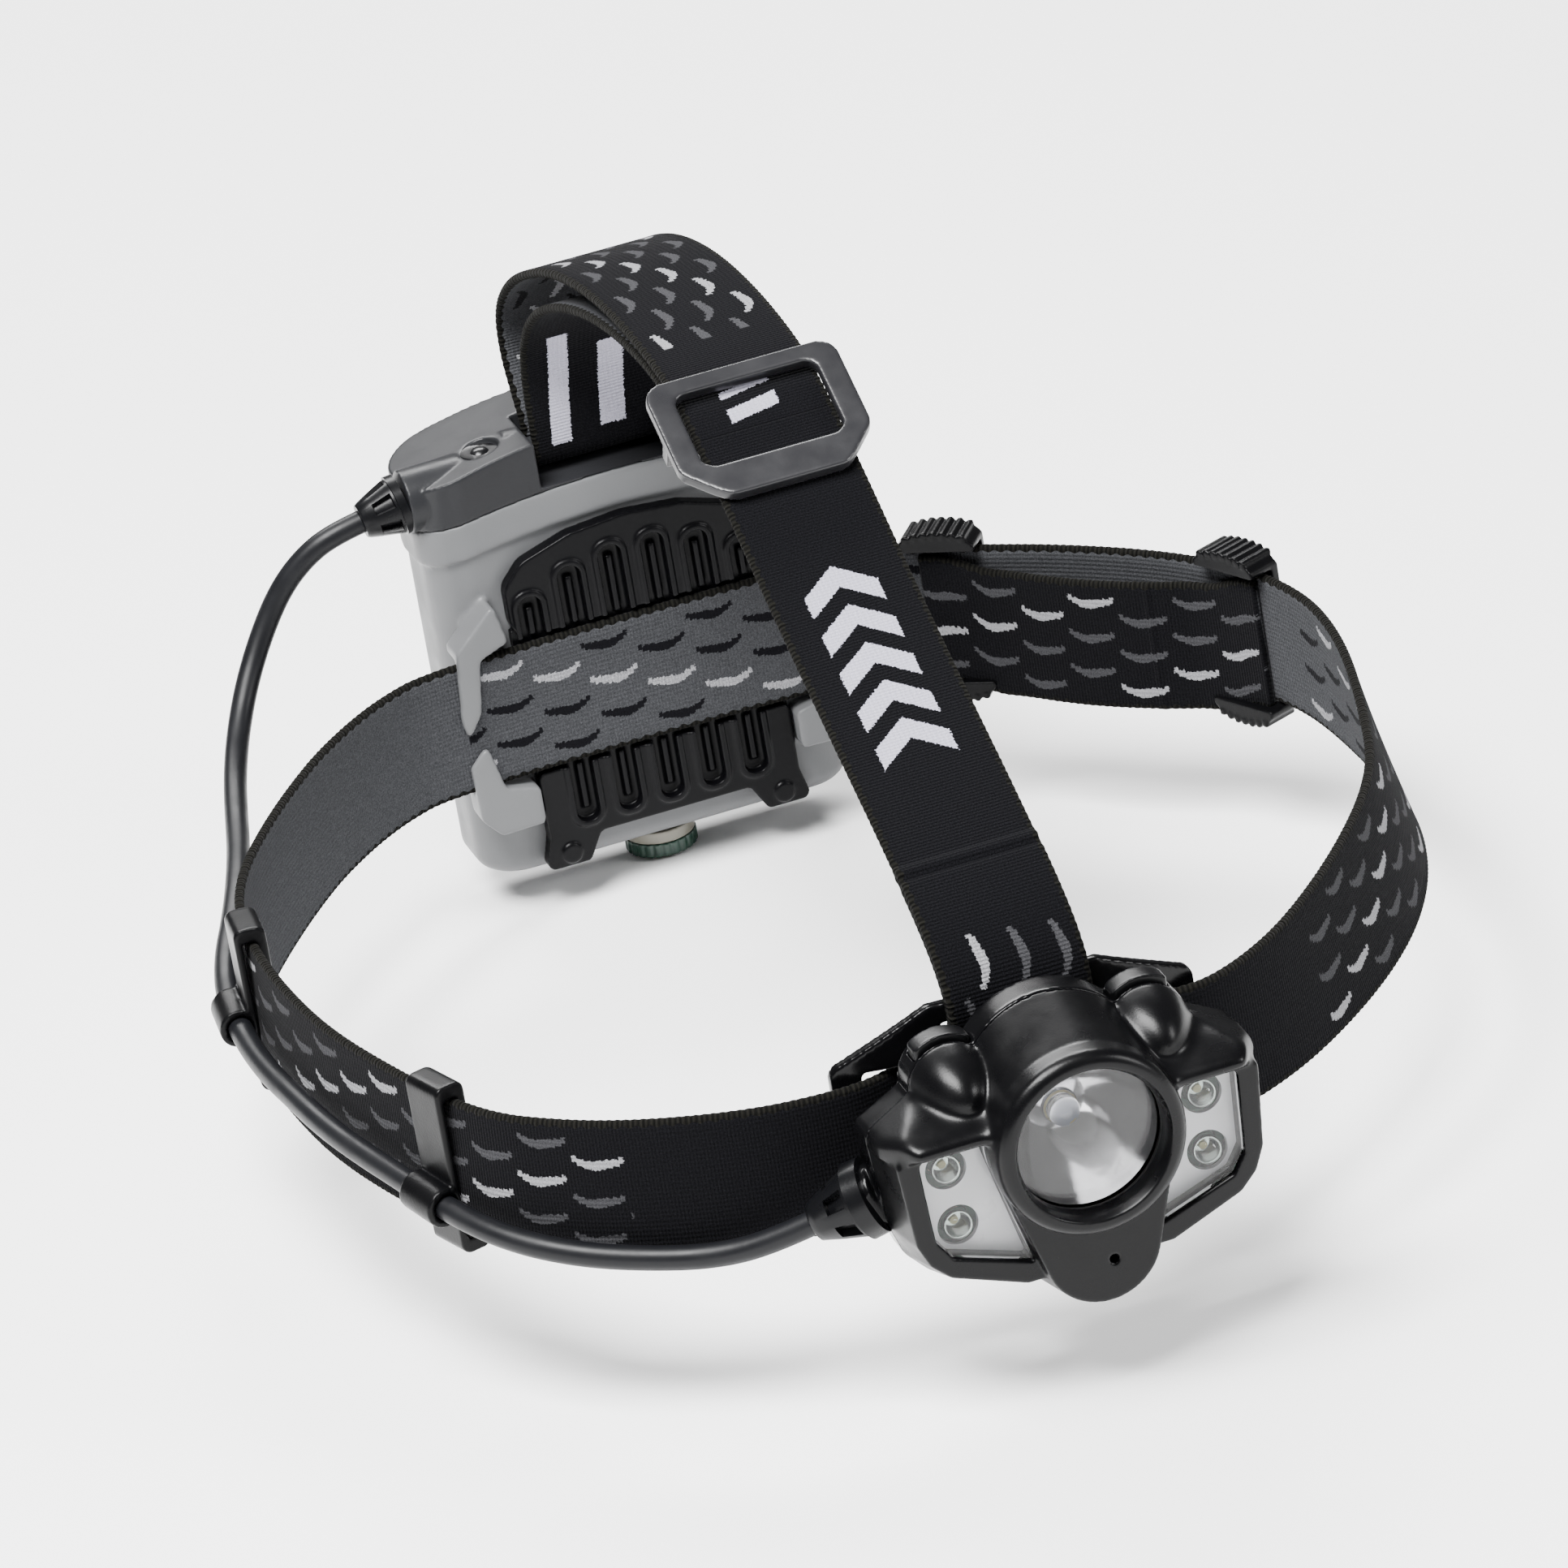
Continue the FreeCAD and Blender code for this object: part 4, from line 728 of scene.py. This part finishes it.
def make_webbing():
    fabric = MATERIALS["webbing"]
    band = ribbon("headband_webbing", BAND_ROUTE, (0, 0, 1), fabric, "headband",
                  [(0, 250, 388), (0, 521, 700), (1, 58, 157), (1, 585, 652)], tilt=band_lean)
    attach(band, ROOT)
    fold = ribbon("fold_webbing", FOLD_ROUTE, (0, 0, 1), fabric, "headband_fold",
                  [(0, 0, 100)], flip=True, relief=seam_pinch(23.5), pattern=(-1, 1), sag=fold_sag)
    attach(fold, ROOT)
    front = ribbon("crown_strap_front", TOP_FRONT_ROUTE, (1, 0, 0), MATERIALS["webbing_chevrons"],
                   "top_strap_front", [(0, 2, 20)], flip=True, relief=stitched_end, pattern=(1, -1))
    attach(front, ROOT)
    rear = ribbon("crown_strap_rear", TOP_REAR_ROUTE, (1, 0, 0), MATERIALS["webbing_window"],
                  "top_strap_rear", [(0, 25, 108), (1, 108, 200)], flip=True, pattern=(1, -1))
    back = ribbon("crown_strap_return", TOP_RETURN_ROUTE, (1, 0, 0), MATERIALS["webbing_bars"],
                  "top_strap_return", [], flip=True)
    for strap in (rear, back):
        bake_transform(strap)


def make_lead():
    jacket = MATERIALS["lead_jacket"]
    rear = lead("lead_to_pack", LEAD_REAR_ROUTE, jacket, "lead_rear")
    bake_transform(rear)
    front = lead("lead_to_lamp", LEAD_FRONT_ROUTE, jacket, "lead_front")
    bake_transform(front)


def brow_softness(point):
    """Full on the brows and domes, none at the seam, the barrel and the windows."""
    return (ease(point.z, 9.2, 11.5) * ease(abs(point.x), 11.5, 15.5)
            * ease(-point.y, 119.7, 121.5) * (1 - ease(-point.y, 135.5, 137)))


# The buckle in the frame, millimetres: half the width of its window, and the width of the side bar beyond it.
BUCKLE_WINDOW = 12.2
BUCKLE_BAR = 4.8


def buckle_sides(point):
    """The buckle's side bars are slimmer than its end bars, and it sits a little to the left."""
    reach = abs(point.x)
    inner, outer = (13.7, 18.1) if point.x < 0 else (12.2, 16.6)
    if reach < BUCKLE_WINDOW:
        wider = reach * inner / BUCKLE_WINDOW
    else:
        wider = inner + (reach - BUCKLE_WINDOW) * (outer - inner) / BUCKLE_BAR
    return Vector((math.copysign(wider, point.x), point.y, point.z))


def make_mouldings():
    """Each row is a node, its voxel size, its smoothing passes, and where it is rounded more than that."""
    for name, voxel, passes, soft in (
        ("front_bezel", 0.32, 5, brow_softness), ("rear_housing", 0.35, 5, None),
        ("bracket_plate", 0.4, 6, None),
        ("side_slider_front", 0.26, 5, None), ("side_slider_rear", 0.26, 5, None),
        ("cable_clip_front", 0.3, 8, None), ("cable_clip_rear", 0.3, 8, None),
        ("battery_case", 0.5, 5, None), ("pack_cap", 0.3, 5, None), ("back_pad", 0.26, 4, None),
        ("spot_button", 0.25, 6, None), ("flood_button", 0.25, 6, None),
        ("thumbscrew", 0.25, 6, None), ("screw_grip_ring", 0.2, 3, None),
    ):
        moulded(name, MATERIALS[NODE_SLOT[name]], voxel, passes, soft)
    moulded("top_buckle", MATERIALS["buckle_grey"], 0.3, 13, shape=buckle_sides)


LATHE_STEPS = 120
SLOT_FROM = 0.22
SLOT_TO = 0.72
CRISP_ANGLE = math.radians(40)


def lathe(name, start, way, rows, material, replaced=(), body=None, slots=0):
    """A closed shape turned about an axis. Each row is (distance along it, radius), and then the depth
    of the sunk slots where it has them."""
    start, way = Vector(start), Vector(way).normalized()
    side = way.cross(Vector((0, 1, 0) if abs(way.z) > 0.9 else (0, 0, 1))).normalized()
    lift = side.cross(way)
    vertices = []
    for distance, radius, *depth in rows:
        for step in range(LATHE_STEPS):
            angle = 2 * math.pi * step / LATHE_STEPS
            share = (slots * step / LATHE_STEPS + 0.1) % 1
            reach = radius - (depth[0] if depth and SLOT_FROM < share < SLOT_TO else 0)
            spoke = side * math.cos(angle) + lift * math.sin(angle)
            vertices.append((start + way * distance + spoke * reach) * MM)
    mesh = bpy.data.meshes.new(name)
    mesh.from_pydata([tuple(v) for v in vertices], [], tube_faces(len(rows), LATHE_STEPS))
    face_outward(mesh)
    smooth(mesh)
    made = add_object(name, mesh, material, body or NODE_BODY[replaced[0]], replaced)
    crisp = made.modifiers.new("crisp", "EDGE_SPLIT")
    crisp.split_angle = CRISP_ANGLE


def make_glands():
    """Slotted strain reliefs at both ends of the lead, and the vent plug sunk in the cap."""
    grey = MATERIALS["gland_grey"]
    lamp_way = Vector(LEAD_FRONT_ROUTE[-1]) - Vector(LAMP_GLAND_FOOT)
    lathe("lamp_gland_moulding", LAMP_GLAND_FOOT, lamp_way, [
        (1.9, 5.5), (2.0, 6.8), (5.0, 6.9), (5.2, 6.2), (5.7, 6.1), (5.8, 6.1, 1.6),
        (9.4, 4.9, 1.4), (9.5, 4.9), (12.2, 3.9), (13.4, 3.5), (13.6, 3.2), (13.7, 2.0),
    ], grey, ("lamp_gland",), slots=6)
    pack_way = Vector(LEAD_REAR_ROUTE[0]) - Vector(PACK_GLAND_FOOT)
    lathe("pack_gland_moulding", PACK_GLAND_FOOT, pack_way, [
        (0.05, 2.4), (0.06, 5.6), (1.6, 5.7), (1.7, 5.3), (2.1, 5.2), (2.2, 5.2, 1.4),
        (5.8, 4.1, 1.2), (5.9, 4.1), (7.9, 3.4), (8.4, 3.1), (8.5, 2.0),
    ], grey, ("pack_gland",), slots=6)
    # The vent plug's near-black colour is painted shade: it stands in for the darkness of a deeper recess.
    lathe("vent_plug_moulding", VENT_FOOT, (0, 0, 1), [
        (0, 3.5), (0.35, 3.5), (0.2, 2.6), (0.25, 1.7), (0.75, 1.3), (0.95, 0.6), (1.0, 0.05),
    ], MATERIALS["vent_black"], ("vent_plug",))


# ---- lamp optics -------------------------------------------------------------------------------

LED_PLACES = [(side * x, z) for side in (1, -1) for x, z in ((22.7, 5.0), (22.2, -5.5))]


def dome_rows(radius, height, foot):
    """A short upright wall, then a dome that closes at the axis."""
    angles = [math.pi / 2 * step / 14 for step in range(14)]
    arc = [(foot + height * math.sin(angle), radius * math.cos(angle)) for angle in angles]
    return [(0, radius)] + arc + [(foot + height, radius * 0.02)]


def make_optics():
    """The light sources: a domed power LED in the cup's throat, and what shows inside the clear 5 mm LEDs."""
    lens_low, lens_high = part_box("spot_lens")
    axis_z = (lens_low[2] + lens_high[2]) / 2 / MM
    star_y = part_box("spot_led")[1][1] / MM
    forward = (0, -1, 0)
    lathe("spot_led_star", (0, star_y, axis_z), forward,
          [(0, 8.0), (1.4, 8.0), (1.4, 2.8), (2.2, 2.8), (2.25, 2.4), (2.25, 0.05)],
          MATERIALS["phosphor"], ("spot_led",))
    lathe("spot_led_die", (0, star_y - 2.3, axis_z), forward, [(0, 1.95), (0.5, 1.95), (0.5, 0.05)],
          MATERIALS["led_chip"], body="lamp")
    lathe("spot_led_dome", (0, star_y - 2.9, axis_z), forward, dome_rows(2.7, 2.5, 1.3),
          MATERIALS["dome_clear"], body="lamp")
    foot_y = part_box("flood_leds")[1][1] / MM
    for number, (x, z) in enumerate(LED_PLACES):
        foot = (x, foot_y, z)
        lathe(f"flood_cup_{number}", foot, forward,
              [(3.2, 0.8), (4.7, 1.7), (4.75, 1.5), (3.5, 0.75), (3.5, 0.05)],
              MATERIALS["cup_metal"], body="lamp")
        lathe(f"flood_phosphor_{number}", foot, forward, [(3.6, 0.42), (4.0, 0.42), (4.05, 0.05)],
              MATERIALS["phosphor"], body="lamp")


make_camera()
make_studio()
make_materials()
dress_frame()
make_webbing()
make_lead()
make_mouldings()
make_glands()
make_optics()
